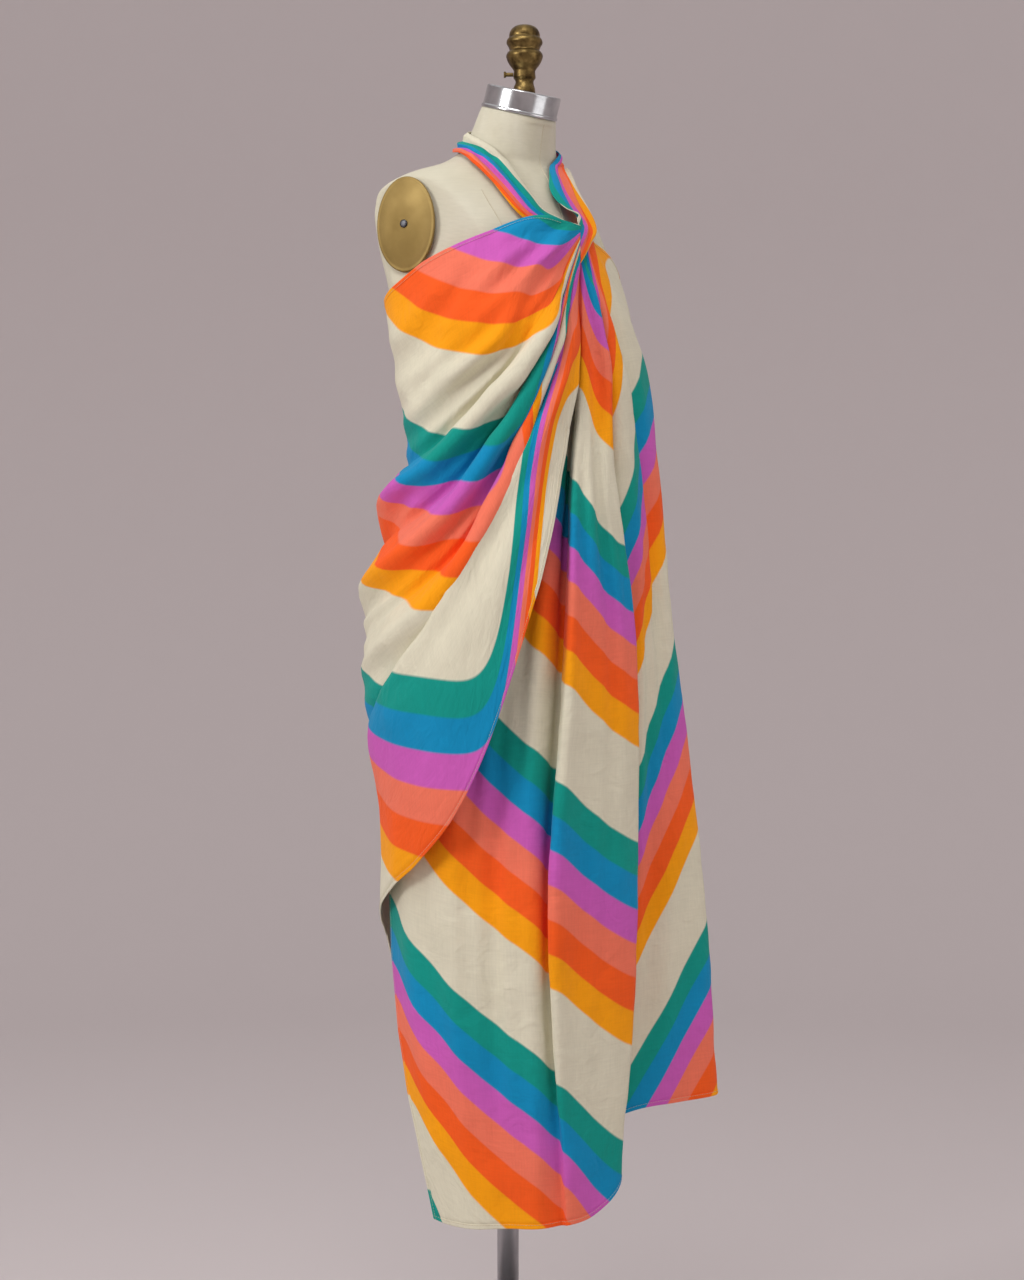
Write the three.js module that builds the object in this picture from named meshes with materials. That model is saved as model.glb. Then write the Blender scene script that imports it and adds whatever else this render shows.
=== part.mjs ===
// A wrap dress on a dress form: one large rectangular cloth wound round the body, its two upper
// corners crossed at the centre front, carried up round the neck and knotted at the nape.
// The form is a limbless linen torso on a pole and a round base, with a wire cage under it.
//
// Millimetres. +Z is up, the floor is z = 0 and the pole is the Z axis. The wearer's front is -Y
// and the wearer's right is -X. A "turn" is an angle about the pole in degrees: 0 is the centre
// front, +90 the wearer's left side, -90 the wearer's right side. A "reach" is the distance from
// the pole's axis.
import * as THREE from "three";

// ---------------------------------------------------------------- driving dimensions
const WALL = 2; // thickness of the cloth's wall
const SEAM = 0.3; // gap where two pieces meet
const CLEAR_FORM = 4; // outer face of the under layer above the form
const CLEAR_OVER = 7; // outer face of the over layer above the form

const CROSSING_TURN = -3; // where the wrap's corners cross at the chest
const OVER_REACH = 122; // the over bundle's reach at the crossing
const UNDER_REACH = 111; // the under bundle's reach at the crossing
const BACK_REACH = 130; // the back's usual reach, where its seams lie
const LEFT_SEAM_TURN = 125; // left front meets back
const RIGHT_SEAM_TURN = -140; // right front meets back
const BACK_HEM = { left: 375, lowest: 355, lowestShare: 0.575 };
const BACK_FOLDS = { depth: 7, width: 32 }; // soft folds in the hanging back, width in degrees of turn

const FORM_BOTTOM = 808;
const NECK_TOP = 1539; // the linen ends here, under the metal cap
const NECK_TILT = 0.3; // the neck's top slopes down to the front by this much
const NECK_TILT_FROM = 1515;
const CAP = { height: 25, middle: -27, radius: 42.4, lip: 1.4, segments: 32 };
const BUST = { turn: 35, height: 1275, lift: 16, wide: 21, tall: 62 };
const PLATE = { width: 74, height: 108, rim: 3.4, dome: 3.2, turn: 72, z: 1401, side: 138.5, back: 26.3 };
const ARMHOLE_REACH = 119.5; // the torso is flat this far out, behind each arm plate
const POLE = { radius: 12.5, segments: 24 };
const BASE = { radius: 175, height: 13, collar: 22, collarTop: 62, segments: 32 };
const CAGE = { wire: 1.6, sides: 5, halfWidth: 128, depth: 86, uprights: 8, bottom: 412, hoopSteps: 32 };
const CAGE_RINGS = { upper: 601, lower: 418 };
const KNOT = { z: 1509, halfWidth: 11.2, depth: 10.2, halfHeight: 18, clear: 1.2 };

// A table of rows with named columns.
const table = (columns, ...rows) =>
  rows.map((row) => Object.fromEntries(columns.split(" ").map((name, k) => [name, row[k]])));

// Level sections of the form. Each is a superellipse in four quarters about a point on the centre
// line, `middle` behind the pole's axis.
const FORM = table(
  "z halfWidth front back middle frontPower backPower",
  [808, 158, 99, 112, 0, 2.35, 2.35],
  [830, 164, 103, 118, 0, 2.35, 2.35],
  [870, 169, 107, 124, 0, 2.35, 2.35],
  [920, 170, 108, 125, 0, 2.35, 2.35],
  [980, 161, 104, 115, 0, 2.35, 2.35],
  [1050, 139, 95, 94, 0, 2.35, 2.35],
  [1120, 119, 86, 80, 0, 2.35, 2.35],
  [1180, 124, 93, 84, 0, 2.35, 2.35],
  [1240, 135, 103, 94, 0, 2.35, 2.35],
  [1290, 142, 110, 100, 1, 2.3, 2.35],
  [1340, 146, 115, 102, 8, 2.1, 2.4],
  [1390, 151, 118, 92, 22, 1.8, 2.6],
  [1426, 152, 114, 80, 32, 1.6, 2.6],
  [1444, 148, 108, 69, 35, 1.5, 2.5],
  [1457, 131, 98, 65, 33, 1.55, 2.4],
  [1468, 108, 84, 62, 27, 1.65, 2.3],
  [1477, 82, 69, 58, 17, 1.8, 2.1],
  [1488, 65, 58, 54, 6, 2, 2],
  [1502, 56, 52, 50, -2, 2, 2],
  [1518, 50, 48, 47, -9, 2, 2],
  [1539, 43, 42, 42, -18, 2, 2],
);

// How far out the torso's sides reach, towards the arm plates: they flatten up to the armholes.
const ARMHOLE = table(
  "z reach",
  [1240, 175],
  [1285, 140],
  [1320, 125],
  [1344, ARMHOLE_REACH],
  [1500, ARMHOLE_REACH],
);

// How far the wrapped cloth stands from the pole, before its folds: level sections, by turn.
const HULL = table(
  "z back backRight right frontRight front frontLeft left backLeft",
  [300, 118, 118, 128, 150, 160, 170, 190, 150],
  [360, 120, 122, 132, 156, 164, 200, 200, 160],
  [410, 124, 128, 140, 162, 166, 225, 205, 165],
  [480, 128, 134, 150, 168, 168, 230, 205, 165],
  [580, 132, 140, 160, 174, 168, 225, 203, 165],
  [670, 134, 142, 168, 178, 166, 215, 200, 163],
  [780, 137, 146, 176, 180, 163, 203, 195, 162],
  [880, 139, 152, 182, 182, 160, 192, 190, 160],
  [980, 133, 152, 176, 175, 156, 182, 180, 152],
  [1050, 122, 140, 160, 163, 152, 172, 166, 140],
  [1113, 110, 122, 146, 152, 149, 166, 154, 128],
  [1170, 104, 112, 140, 150, 148, 163, 148, 120],
  [1230, 106, 118, 142, 155, 148, 158, 148, 122],
  [1287, 110, 126, 148, 158, 142, 155, 150, 128],
  [1334, 113, 133, 154, 142, 132, 140, 155, 134],
  [1370, 114, 136, 158, 128, 124, 126, 158, 136],
  [1405, 112, 134, 158, 118, 118, 118, 158, 134],
);
const HULL_COLUMNS = ["back", "backRight", "right", "frontRight", "front", "frontLeft", "left", "backLeft"];

// The over layer, from the crossing round the wearer's right side to the back. Each row is a fold
// line that runs with the cloth; z and turn are given at five stations along it, and lift is how
// far the fold stands out of the hull there.
const OVER_STATIONS = [0, 0.2, 0.45, 0.7, 1];
const OVER = table(
  "name z0 turn1 z1 turn2 z2 turn3 z3 z4 lift1 lift2 lift3 lift4",
  ["top_edge", 1398, -30, 1404, -62, 1377, -96, 1336, 1303, 1, 0, 0, 0],
  ["flap", 1394, -32, 1378, -60, 1328, -94, 1288, 1262, 5, 3, 0, 0],
  ["bodice_mid", 1390, -31, 1346, -56, 1285, -91, 1237, 1215, -1, 1, 0, -1],
  ["bodice_low", 1386, -31, 1316, -52, 1252, -88, 1196, 1172, 2, 4, 2, -2],
  ["crease_a", 1383, -31, 1287, -47, 1226, -84, 1148, 1122, -4, -8, -8, -8],
  ["roll_1", 1380, -33, 1264, -49, 1205, -84, 1120, 1078, 4, 10, 12, 20],
  ["crease_b", 1377, -30, 1247, -45, 1178, -80, 1085, 1025, -4, -9, -9, -3],
  ["roll_2", 1374, -32, 1238, -49, 1152, -80, 1045, 968, 3, 9, 12, 16],
  ["crease_c", 1371, -28, 1230, -44, 1122, -75, 1005, 905, -4, -10, -10, -4],
  ["roll_3", 1368, -30, 1222, -47, 1096, -76, 965, 865, 2, 6, 9, 6],
  ["crease_d", 1364, -24, 1214, -39, 1066, -71, 918, 805, -6, -16, -16, -14],
  ["panel_fold", 1361, -29, 1207, -53, 1060, -82, 905, 780, 3, 6, 6, 4],
  ["panel_mid", 1357, -22, 1202, -42, 1025, -71, 828, 690, 5, 8, 6, -6],
  ["free_edge", 1352, -16, 1195, -35, 980, -66, 726, 585, 4, 8, 6, 4],
);

// The under layer, from the crossing round the wearer's left side. Each row is a fold line that
// runs from the gather down to the hem, with its turn and reach at five levels.
const UNDER_LEVELS = [1270, 1120, 940, 650];
const UNDER = table(
  "name turn0 z0 turn1 reach1 turn2 reach2 turn3 reach3 turn4 reach4 turn5 reach5 z5",
  ["free_edge", -3, 1350, -17, 127, -42, 131, -76, 168, -114, 145, -79, 148, 285],
  ["side_fold", -2.4, 1352, -15, 126, -37, 132, -62, 160, -86, 160, -70, 153, 282],
  ["under_1", -1.9, 1354, -14, 126, -32, 136, -52, 156, -67, 158, -59, 156, 280],
  ["under_2", -0.7, 1358, -11, 122, -26, 128, -42, 148, -51, 150, -45, 150, 280],
  ["under_3", 0.4, 1362, -8, 124, -21, 135, -33, 153, -38, 162, -33, 160, 281],
  ["valley", 1.5, 1366, -4, 119, -12, 126, -18, 136, -27, 152, -22, 154, 282],
  ["pleat_left", 2.6, 1370, -5, 129, -16, 155, -21, 170, -28, 168, -21, 162, 283],
  ["pleat_mid", 3.8, 1374, 0, 133, -8, 160, -6, 168, -9, 167, -9, 161, 290],
  ["pleat_right", 4.9, 1378, 5, 139, 1, 163, 9, 175, 11, 175, 5, 167, 325],
  ["deep", 6, 1382, 7, 127, 6, 136, 11, 134, 11, 124, 9, 121, 372],
  ["far_in", 7.2, 1386, 13, 141, 17, 159, 22, 158, 24, 155, 25, 150, 392],
  ["far_mid", 8, 1389, 22, 142, 31, 160, 34, 172, 36, 190, 37, 198, 398],
  ["far_ridge", 25, 1384, 44, 151, 46, 172, 46, 194, 45, 227, 45, 243, 402],
  ["left_turn", 50, 1368, 62, 150, 62, 157, 61, 184, 59, 214, 59, 230, 402],
  ["left_dip", 68, 1350, 78, 149, 77, 148, 76, 174, 75, 190, 75, 197, 396],
  ["left_ridge", 88, 1336, 94, 153, 93, 156, 93, 184, 92, 207, 92, 215, 390],
  ["left_dip2", 106, 1322, 109, 146, 109, 145, 109, 170, 108, 184, 108, 188, 382],
  ["back_seam", 125, 1310, 125, 134, 125, 130, 125, 163, 125, 180, 125, 186, 375],
);
const GATHERED_BELOW_TURN = 10; // these rows start in the gather, on one slanting line

// A strap is a pleated ribbon between two edges that lie over the form: each row of its path gives
// the two edges' turn and height, how far each stands off the form, and how deep the pleats are.
const PATH = "turnA zA turnB zB riseA riseB pleat";
const RIGHT_STRAP = table(
  PATH,
  [7.8, 1389.8, -3.3, 1350.5, 13, 6, 0.2],
  [-6, 1404, -20, 1378, 8, 6, 0.7],
  [-18, 1415, -38, 1406, 4, 4.5, 1],
  [-25, 1431, -47, 1425, 4, 4, 1],
  [-34, 1451, -58, 1447, 4, 4, 1],
  [-47, 1476, -74, 1468, 4, 4, 1],
  [-67, 1495, -93, 1483, 4, 4, 0.9],
  [-100, 1511, -117, 1489, 4, 4, 0.8],
  [-135, 1519, -142, 1495, 4, 4, 0.8],
  [-166.9, 1523, -166.9, 1498, 4, 4, 0.8],
);
const LEFT_STRAP = table(
  PATH,
  [-2.6, 1398, -2.6, 1352, 25, 16, 0.2],
  [1, 1406, 9, 1375, 22, 15.5, 0.5],
  [-4, 1415, 20, 1390, 14, 13, 0.9],
  [-8, 1430, 27, 1412, 8, 10, 1],
  [-6, 1448, 32, 1434, 5, 8, 1],
  [9, 1470, 39, 1455, 4, 6, 1],
  [34, 1489, 57, 1471, 4, 5, 0.9],
  [65, 1502, 85, 1482, 4, 4, 0.9],
  [100, 1512, 116, 1489, 4, 4, 0.8],
  [135, 1519, 141, 1495, 4, 4, 0.8],
  [166.9, 1523, 166.9, 1498, 4, 4, 0.8],
);
const LEFT_TAIL = table(
  PATH,
  [178.2, 1484, 170, 1484, 8, 8, 0.3],
  [177.5, 1474, 169, 1475, 5, 5, 0.8],
  [177, 1462, 167.5, 1463, 4, 4, 1],
  [176.5, 1436, 165, 1438, 4, 4, 1],
  [176, 1400, 162, 1403, 4, 4, 1],
  [176, 1352, 160, 1357, 4, 4, 1],
);
const RIGHT_TAIL = table(
  PATH,
  [181.8, 1484, 190, 1484, 8, 8, 0.3],
  [182.5, 1474, 191, 1475, 5, 5, 0.8],
  [183, 1462, 193, 1463, 4, 4, 1],
  [184, 1436, 196, 1437, 4, 4, 1],
  [185, 1395, 199, 1397, 4, 4, 1],
  [185, 1325, 201, 1329, 4, 4, 1],
);
// Pleats across a strap and across a tail, from edge A to edge B.
const STRAP_PLEATS = table(
  "share height",
  [0, 0],
  [0.22, 3],
  [0.42, 0.5],
  [0.6, 4.5],
  [0.74, 1],
  [0.9, 5.5],
  [1, 1.5],
);
const TAIL_PLEATS = table("share height", [0, 0], [0.25, 3.5], [0.5, 0.5], [0.78, 4], [1, 0.5]);

const FINIAL_FOOT = NECK_TOP + CAP.height + 2 * SEAM;
const FINIAL_COLLAR = 12.6;
const FINIAL_SEGMENTS = 20;
// Turned brass finial: half profile, by height above its foot.
const FINIAL = table(
  "radius rise",
  [12.7, 0],
  [12.2, 3.5],
  [10.4, 9.5],
  [FINIAL_COLLAR, 14],
  [FINIAL_COLLAR, 23],
  [13.8, 25],
  [17.4, 30],
  [20.2, 35.5],
  [21.2, 40],
  [19.8, 43.5],
  [17.2, 46.5],
  [18.4, 50.5],
  [20.9, 55],
  [20, 58.5],
  [17.8, 62],
  [17, 67.5],
  [13.4, 72.5],
  [7.4, 75.5],
);
const THUMB_SCREW = { radius: 2.4, length: 8.5, head: 3.6, headLength: 2.6, rise: 18.5, turn: -135 };
const PLATE_SCREW = { radius: 4.6, height: 1.6 };

// ---------------------------------------------------------------- curves and surfaces
const radians = THREE.MathUtils.degToRad;
const degrees = THREE.MathUtils.radToDeg;
const { clamp, lerp, smoothstep } = THREE.MathUtils;

// A smooth curve through the points (xs[i], ys[i]), xs rising.
function curve(xs, ys, x) {
  const last = xs.length - 1;
  const slope = (i) => (ys[i + 1] - ys[i]) / (xs[i + 1] - xs[i]);
  const tangent = (i) => {
    if (i === 0) return slope(0);
    if (i === last) return slope(last - 1);
    const before = xs[i] - xs[i - 1];
    const after = xs[i + 1] - xs[i];
    return (slope(i - 1) * after + slope(i) * before) / (before + after);
  };
  let i = 0;
  while (i < last - 1 && x >= xs[i + 1]) i += 1;
  const step = xs[i + 1] - xs[i];
  const t = clamp((x - xs[i]) / step, 0, 1);
  const u = 1 - t;
  return (
    ys[i] * (1 + 2 * t) * u * u +
    ys[i + 1] * t * t * (3 - 2 * t) +
    step * (tangent(i) * t * u * u - tangent(i + 1) * t * t * u)
  );
}

const column = (rows, name) => rows.map((row) => row[name]);
const FORM_Z = column(FORM, "z");
const formAt = (name, z) => curve(FORM_Z, column(FORM, name), clamp(z, FORM_BOTTOM, NECK_TOP));

function formSection(z) {
  const names = ["halfWidth", "front", "back", "middle", "frontPower", "backPower"];
  return Object.fromEntries(names.map((name) => [name, formAt(name, z)]));
}

// The form's reach at a turn in one section, found by halving, with the bust's two soft mounds.
function sectionReach(section, turn, z) {
  const sideways = Math.sin(radians(turn));
  const backwards = -Math.cos(radians(turn));
  let near = 0;
  let far = 260;
  for (let k = 0; k < 22; k += 1) {
    const reach = (near + far) / 2;
    const y = reach * backwards - section.middle;
    const depth = y < 0 ? section.front : section.back;
    const power = y < 0 ? section.frontPower : section.backPower;
    const size = Math.abs((reach * sideways) / section.halfWidth) ** power + Math.abs(y / depth) ** power;
    if (size < 1) near = reach;
    else far = reach;
  }
  const fromFront = Math.abs(((((turn + 180) % 360) + 360) % 360) - 180);
  const sideBump = Math.exp(-(((fromFront - BUST.turn) / BUST.wide) ** 2));
  const heightBump = Math.exp(-(((z - BUST.height) / BUST.tall) ** 2));
  return near + BUST.lift * sideBump * heightBump;
}
const formReach = (turn, z) => sectionReach(formSection(z), turn, z);

const place = (turn, reach, z) =>
  new THREE.Vector3(reach * Math.sin(radians(turn)), -reach * Math.cos(radians(turn)), z);
const turnOf = (p) => degrees(Math.atan2(p.x, -p.y));

// Outward slope of the form at a place: its unit normal in the plane through the axis.
function formNormal(turn, z) {
  const slope = clamp((formReach(turn, z + 1) - formReach(turn, z - 1)) / 2, -4, 4);
  const size = Math.hypot(1, slope);
  return { out: 1 / size, up: -slope / size };
}

// Moves a point along the form's normal until it stands at least `clear` off the form.
function keepOff(p, clear) {
  if (p.z < FORM_BOTTOM - 18) return p;
  const turn = turnOf(p);
  const reach = Math.hypot(p.x, p.y);
  const normal = formNormal(turn, p.z);
  const spare = (reach - formReach(turn, p.z)) * normal.out - clear;
  const soft = 4;
  if (spare > soft) return p;
  const target = spare < -soft ? 0 : (spare + soft) ** 2 / (4 * soft);
  const push = target - spare;
  return place(turn, reach + push * normal.out, p.z + push * normal.up);
}

// The hull's reach, smooth in height and round the body.
const HULL_Z = column(HULL, "z");
function hullReach(turn, z) {
  const height = clamp(z, HULL_Z[0], HULL_Z.at(-1));
  const around = HULL_COLUMNS.map((name) => curve(HULL_Z, column(HULL, name), height));
  const count = around.length;
  const x = ((((turn + 180) % 360) + 360) % 360) / (360 / count);
  const i = Math.floor(x) % count;
  const t = x - Math.floor(x);
  const [a, b, c, d] = [-1, 0, 1, 2].map((k) => around[(i + k + count) % count]);
  const u = 1 - t;
  return (
    b * (1 + 2 * t) * u * u +
    c * t * t * (3 - 2 * t) +
    ((c - a) / 2) * t * u * u -
    ((d - b) / 2) * t * t * u
  );
}

// Rows of points filled in between fold lines: a centripetal spline through them at each station.
function across(lines, steps) {
  const last = lines.length - 1;
  const line = (i) => {
    if (i < 0) return lines[0].map((p, j) => p.clone().multiplyScalar(2).sub(lines[1][j]));
    if (i > last) return lines[last].map((p, j) => p.clone().multiplyScalar(2).sub(lines[last - 1][j]));
    return lines[i];
  };
  const rows = [];
  for (let i = 0; i < last; i += 1) {
    const near = [line(i - 1), line(i), line(i + 1), line(i + 2)];
    const end = i === last - 1 ? steps : steps - 1;
    for (let k = 0; k <= end; k += 1) {
      const t = k / steps;
      rows.push(near[1].map((_, j) => splinePoint(near.map((l) => l[j]), t)));
    }
  }
  return rows;
}

function splinePoint([p0, p1, p2, p3], t) {
  const gap = (a, b) => Math.sqrt(Math.max(a.distanceTo(b), 1e-3));
  const [d1, d2, d3] = [gap(p0, p1), gap(p1, p2), gap(p2, p3)];
  const u = 1 - t;
  const axis = (n) => {
    const before = (p1[n] - p0[n]) / d1 - (p2[n] - p0[n]) / (d1 + d2) + (p2[n] - p1[n]) / d2;
    const after = (p2[n] - p1[n]) / d2 - (p3[n] - p1[n]) / (d2 + d3) + (p3[n] - p2[n]) / d3;
    return (
      p1[n] * (1 + 2 * t) * u * u +
      p2[n] * t * t * (3 - 2 * t) +
      d2 * (before * t * u * u - after * t * t * u)
    );
  };
  return new THREE.Vector3(axis("x"), axis("y"), axis("z"));
}

// A closed wall of the cloth's thickness behind a grid of points on its outer face. A row or end
// that meets a neighbour at a seam has its thickness laid in the seam's plane, so that the two
// stay apart. `seams` names them: first or last station, with the turn of the plane.
function wall(rows, { flip = false, seams = {} } = {}) {
  const lastRow = rows.length - 1;
  const lastStation = rows[0].length - 1;
  const inner = rows.map((row, i) =>
    row.map((p, j) => {
      const a = rows[Math.min(i + 1, lastRow)][j].clone().sub(rows[Math.max(i - 1, 0)][j]);
      const b = row[Math.min(j + 1, lastStation)].clone().sub(row[Math.max(j - 1, 0)]);
      const normal = a.cross(b);
      const seam = (j === 0 && seams.first) || (j === lastStation && seams.last);
      if (seam) normal.addScaledVector(seam, -normal.dot(seam));
      return p.clone().addScaledVector(normal.normalize(), flip ? WALL : -WALL);
    }),
  );
  const quads = [];
  for (let i = 0; i < lastRow; i += 1)
    for (let j = 0; j < lastStation; j += 1) {
      quads.push([rows[i][j], rows[i + 1][j], rows[i + 1][j + 1], rows[i][j + 1]]);
      quads.push([inner[i][j + 1], inner[i + 1][j + 1], inner[i + 1][j], inner[i][j]]);
    }
  for (let j = 0; j < lastStation; j += 1) {
    quads.push([inner[0][j], rows[0][j], rows[0][j + 1], inner[0][j + 1]]);
    quads.push([inner[lastRow][j + 1], rows[lastRow][j + 1], rows[lastRow][j], inner[lastRow][j]]);
  }
  for (let i = 0; i < lastRow; i += 1) {
    quads.push([inner[i + 1][0], rows[i + 1][0], rows[i][0], inner[i][0]]);
    const [here, next] = [i, i + 1].map((k) => [rows[k][lastStation], inner[k][lastStation]]);
    quads.push([here[1], here[0], next[0], next[1]]);
  }
  const triangles = quads.flatMap(halved);
  return solid(flip ? triangles.map((triangle) => triangle.toReversed()) : triangles);
}

// The two triangles of a quad, split along its shorter diagonal.
const halved = ([a, b, c, d]) =>
  a.distanceTo(c) < b.distanceTo(d) ? [[a, b, c], [a, c, d]] : [[a, b, d], [b, c, d]];

const solid = (triangles) => {
  const positions = triangles.flat().flatMap((p) => [p.x, p.y, p.z]);
  return new THREE.BufferGeometry().setAttribute("position", new THREE.Float32BufferAttribute(positions, 3));
};

// A closed skin over rings of points, each ring a loop of equal length, with fanned ends.
function skin(rings) {
  const count = rings[0].length;
  const middle = (ring) => ring.reduce((sum, p) => sum.add(p), new THREE.Vector3()).divideScalar(count);
  const [low, high] = [middle(rings[0]), middle(rings.at(-1))];
  const triangles = rings[0].flatMap((_, k) => {
    const next = (k + 1) % count;
    const strip = rings.slice(1).flatMap((ring, i) => {
      const below = rings[i];
      return halved([below[k], below[next], ring[next], ring[k]]);
    });
    return [[low, rings[0][next], rings[0][k]], ...strip, [high, rings.at(-1)[k], rings.at(-1)[next]]];
  });
  return solid(triangles);
}

// A closed hoop of equal sections.
const hoop = (sections) =>
  solid(
    sections.flatMap((here, i) => {
      const next = sections[(i + 1) % sections.length];
      return here.flatMap((_, s) => {
        const t = (s + 1) % here.length;
        return halved([here[s], next[s], next[t], here[t]]);
      });
    }),
  );

// The plane through the axis at a turn, as its unit normal.
const planeAt = (turn) => new THREE.Vector3(Math.cos(radians(turn)), Math.sin(radians(turn)), 0);
const spread = (count, power = 1) => Array.from({ length: count }, (_, k) => (k / (count - 1)) ** power);

// ---------------------------------------------------------------- the cloth
function overLayer() {
  const stations = spread(23, 1.15);
  const halfGap = degrees(SEAM / 2 / OVER_REACH);
  const endTurn = RIGHT_SEAM_TURN + halfGap;
  const lines = OVER.map((fold) =>
    stations.map((v) => {
      const turns = [CROSSING_TURN - halfGap, fold.turn1, fold.turn2, fold.turn3, endTurn];
      const turn = curve(OVER_STATIONS, turns, v);
      const z = curve(OVER_STATIONS, [fold.z0, fold.z1, fold.z2, fold.z3, fold.z4], v);
      const lift = curve(OVER_STATIONS, [0, fold.lift1, fold.lift2, fold.lift3, fold.lift4], v);
      const opened = smoothstep(v, 0, OVER_STATIONS[1]);
      return place(turn, lerp(OVER_REACH, hullReach(turn, z), opened) + lift, z);
    }),
  );
  const rows = across(lines, 2).map((row) => row.map((p) => keepOff(p, CLEAR_OVER)));
  return wall(rows, { flip: true, seams: { first: planeAt(CROSSING_TURN), last: planeAt(RIGHT_SEAM_TURN) } });
}

function underLayer() {
  const drops = spread(23);
  const lines = UNDER.map((fold) => {
    const levels = [fold.z0, ...UNDER_LEVELS, fold.z5].map((z) => fold.z0 - z);
    const gathered = fold.turn0 < GATHERED_BELOW_TURN;
    const top = gathered ? UNDER_REACH : formReach(fold.turn0, fold.z0) + CLEAR_FORM + WALL;
    const turns = [fold.turn0, fold.turn1, fold.turn2, fold.turn3, fold.turn4, fold.turn5];
    const reaches = [top, fold.reach1, fold.reach2, fold.reach3, fold.reach4, fold.reach5];
    return drops.map((v) => {
      const drop = (fold.z0 - fold.z5) * v;
      const seamGap = fold.name === "back_seam" ? degrees(SEAM / 2 / top) : 0;
      return place(curve(levels, turns, drop) - seamGap, curve(levels, reaches, drop), fold.z0 - drop);
    });
  });
  const rows = across(lines, 2).map((row) => row.map((p) => keepOff(p, CLEAR_FORM)));
  return wallAcross(rows, { flip: true, lastRow: planeAt(LEFT_SEAM_TURN) });
}

// The same wall with its rows and stations swapped, for a sheet whose seam is its last row.
function wallAcross(rows, { flip, firstRow, lastRow }) {
  const swapped = rows[0].map((_, j) => rows.map((row) => row[j]));
  return wall(swapped, { flip: !flip, seams: { first: firstRow, last: lastRow } });
}

// Reach of the cloth along each of the back's two seams, by height.
function seamReaches() {
  const left = UNDER.at(-1);
  const top = formReach(left.turn0, left.z0) + CLEAR_FORM + WALL;
  const leftZ = [left.z5, ...UNDER_LEVELS.toReversed(), left.z0];
  const leftReach = [left.reach5, left.reach4, left.reach3, left.reach2, left.reach1, top];
  const rightZ = column(OVER, "z4").toReversed();
  const rightReach = OVER.map((fold) => hullReach(RIGHT_SEAM_TURN, fold.z4) + fold.lift4).toReversed();
  return {
    left: (z) => curve(leftZ, leftReach, clamp(z, leftZ[0], leftZ.at(-1))),
    right: (z) => curve(rightZ, rightReach, clamp(z, rightZ[0], rightZ.at(-1))),
  };
}

function backLayer() {
  const seam = seamReaches();
  const span = 360 + RIGHT_SEAM_TURN - LEFT_SEAM_TURN;
  const halfGap = degrees(SEAM / 2 / BACK_REACH);
  const topLeft = UNDER.at(-1).z0;
  const topRight = OVER[0].z4;
  const cornerZ = OVER.at(-1).z4;
  const rows = spread(20).map((share) => {
    const turn = lerp(LEFT_SEAM_TURN + halfGap, LEFT_SEAM_TURN + span - halfGap, share);
    const top = lerp(topLeft, topRight, share) + 8 * Math.sin(Math.PI * share);
    const low = BACK_HEM.lowestShare;
    const hem =
      share < low
        ? lerp(BACK_HEM.left, BACK_HEM.lowest, share / low)
        : lerp(BACK_HEM.lowest, cornerZ, (share - low) / (1 - low));
    const nearLeft = 1 - smoothstep(share, 0, 0.28);
    const nearRight = smoothstep(share, 0.66, 1);
    return spread(22).map((v) => {
      const z = lerp(top, hem, v);
      const hang = clamp((1270 - z) / 500, 0, 1);
      const wave = Math.sin((2 * Math.PI * (turn - LEFT_SEAM_TURN)) / BACK_FOLDS.width);
      const soft = BACK_FOLDS.depth * wave * Math.sqrt(Math.max(Math.sin(Math.PI * share), 0));
      const toLeft = nearLeft * (seam.left(z) - hullReach(LEFT_SEAM_TURN, z));
      const toRight = nearRight * (seam.right(z) - hullReach(RIGHT_SEAM_TURN, z));
      const reach = hullReach(turn, z) + soft * hang + toLeft + toRight;
      const clear = lerp(CLEAR_FORM, CLEAR_OVER, smoothstep(share, 0.5, 1));
      return keepOff(place(turn, reach, z), clear);
    });
  });
  return wallAcross(rows, {
    flip: true,
    firstRow: planeAt(LEFT_SEAM_TURN),
    lastRow: planeAt(RIGHT_SEAM_TURN),
  });
}

// A strap or a tail: pleats between two edges that are laid over the form.
function ribbon(path, pleats, count, flip) {
  const stations = path.map((_, k) => k / (path.length - 1));
  const along = (name, v) => curve(stations, column(path, name), v);
  const lines = pleats.map(({ share, height }) =>
    spread(count).map((v) => {
      const turn = lerp(along("turnA", v), along("turnB", v), share);
      const z = lerp(along("zA", v), along("zB", v), share);
      const off = lerp(along("riseA", v), along("riseB", v), share) + height * along("pleat", v);
      const normal = formNormal(turn, z);
      return place(turn, formReach(turn, z) + off * normal.out, z + off * normal.up);
    }),
  );
  return wall(lines, { flip });
}

// The knot at the nape: a rounded block with the twist of the two crossed ends on its face.
function knot() {
  const rings = spread(11).map((share) => {
    const rise = -Math.cos(Math.PI * share);
    return Array.from({ length: 20 }, (_, k) => {
      const angle = (2 * Math.PI * k) / 20;
      const round = (value, power) => Math.sign(value) * Math.abs(value) ** power;
      const girth = Math.max(1 - Math.abs(rise) ** 3, 0.02) ** 0.42;
      const twist = 1 + 0.07 * Math.sin(2 * angle + 5 * rise) * (1 - rise * rise);
      const x = KNOT.halfWidth * girth * round(Math.cos(angle), 0.6);
      const z = KNOT.z + KNOT.halfHeight * rise;
      const middle = formReach(180, z) + KNOT.clear + KNOT.depth;
      const y = KNOT.depth * girth * round(Math.sin(angle), 0.7) * twist;
      return new THREE.Vector3(x, middle + y, z);
    });
  });
  return skin(rings);
}

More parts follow.
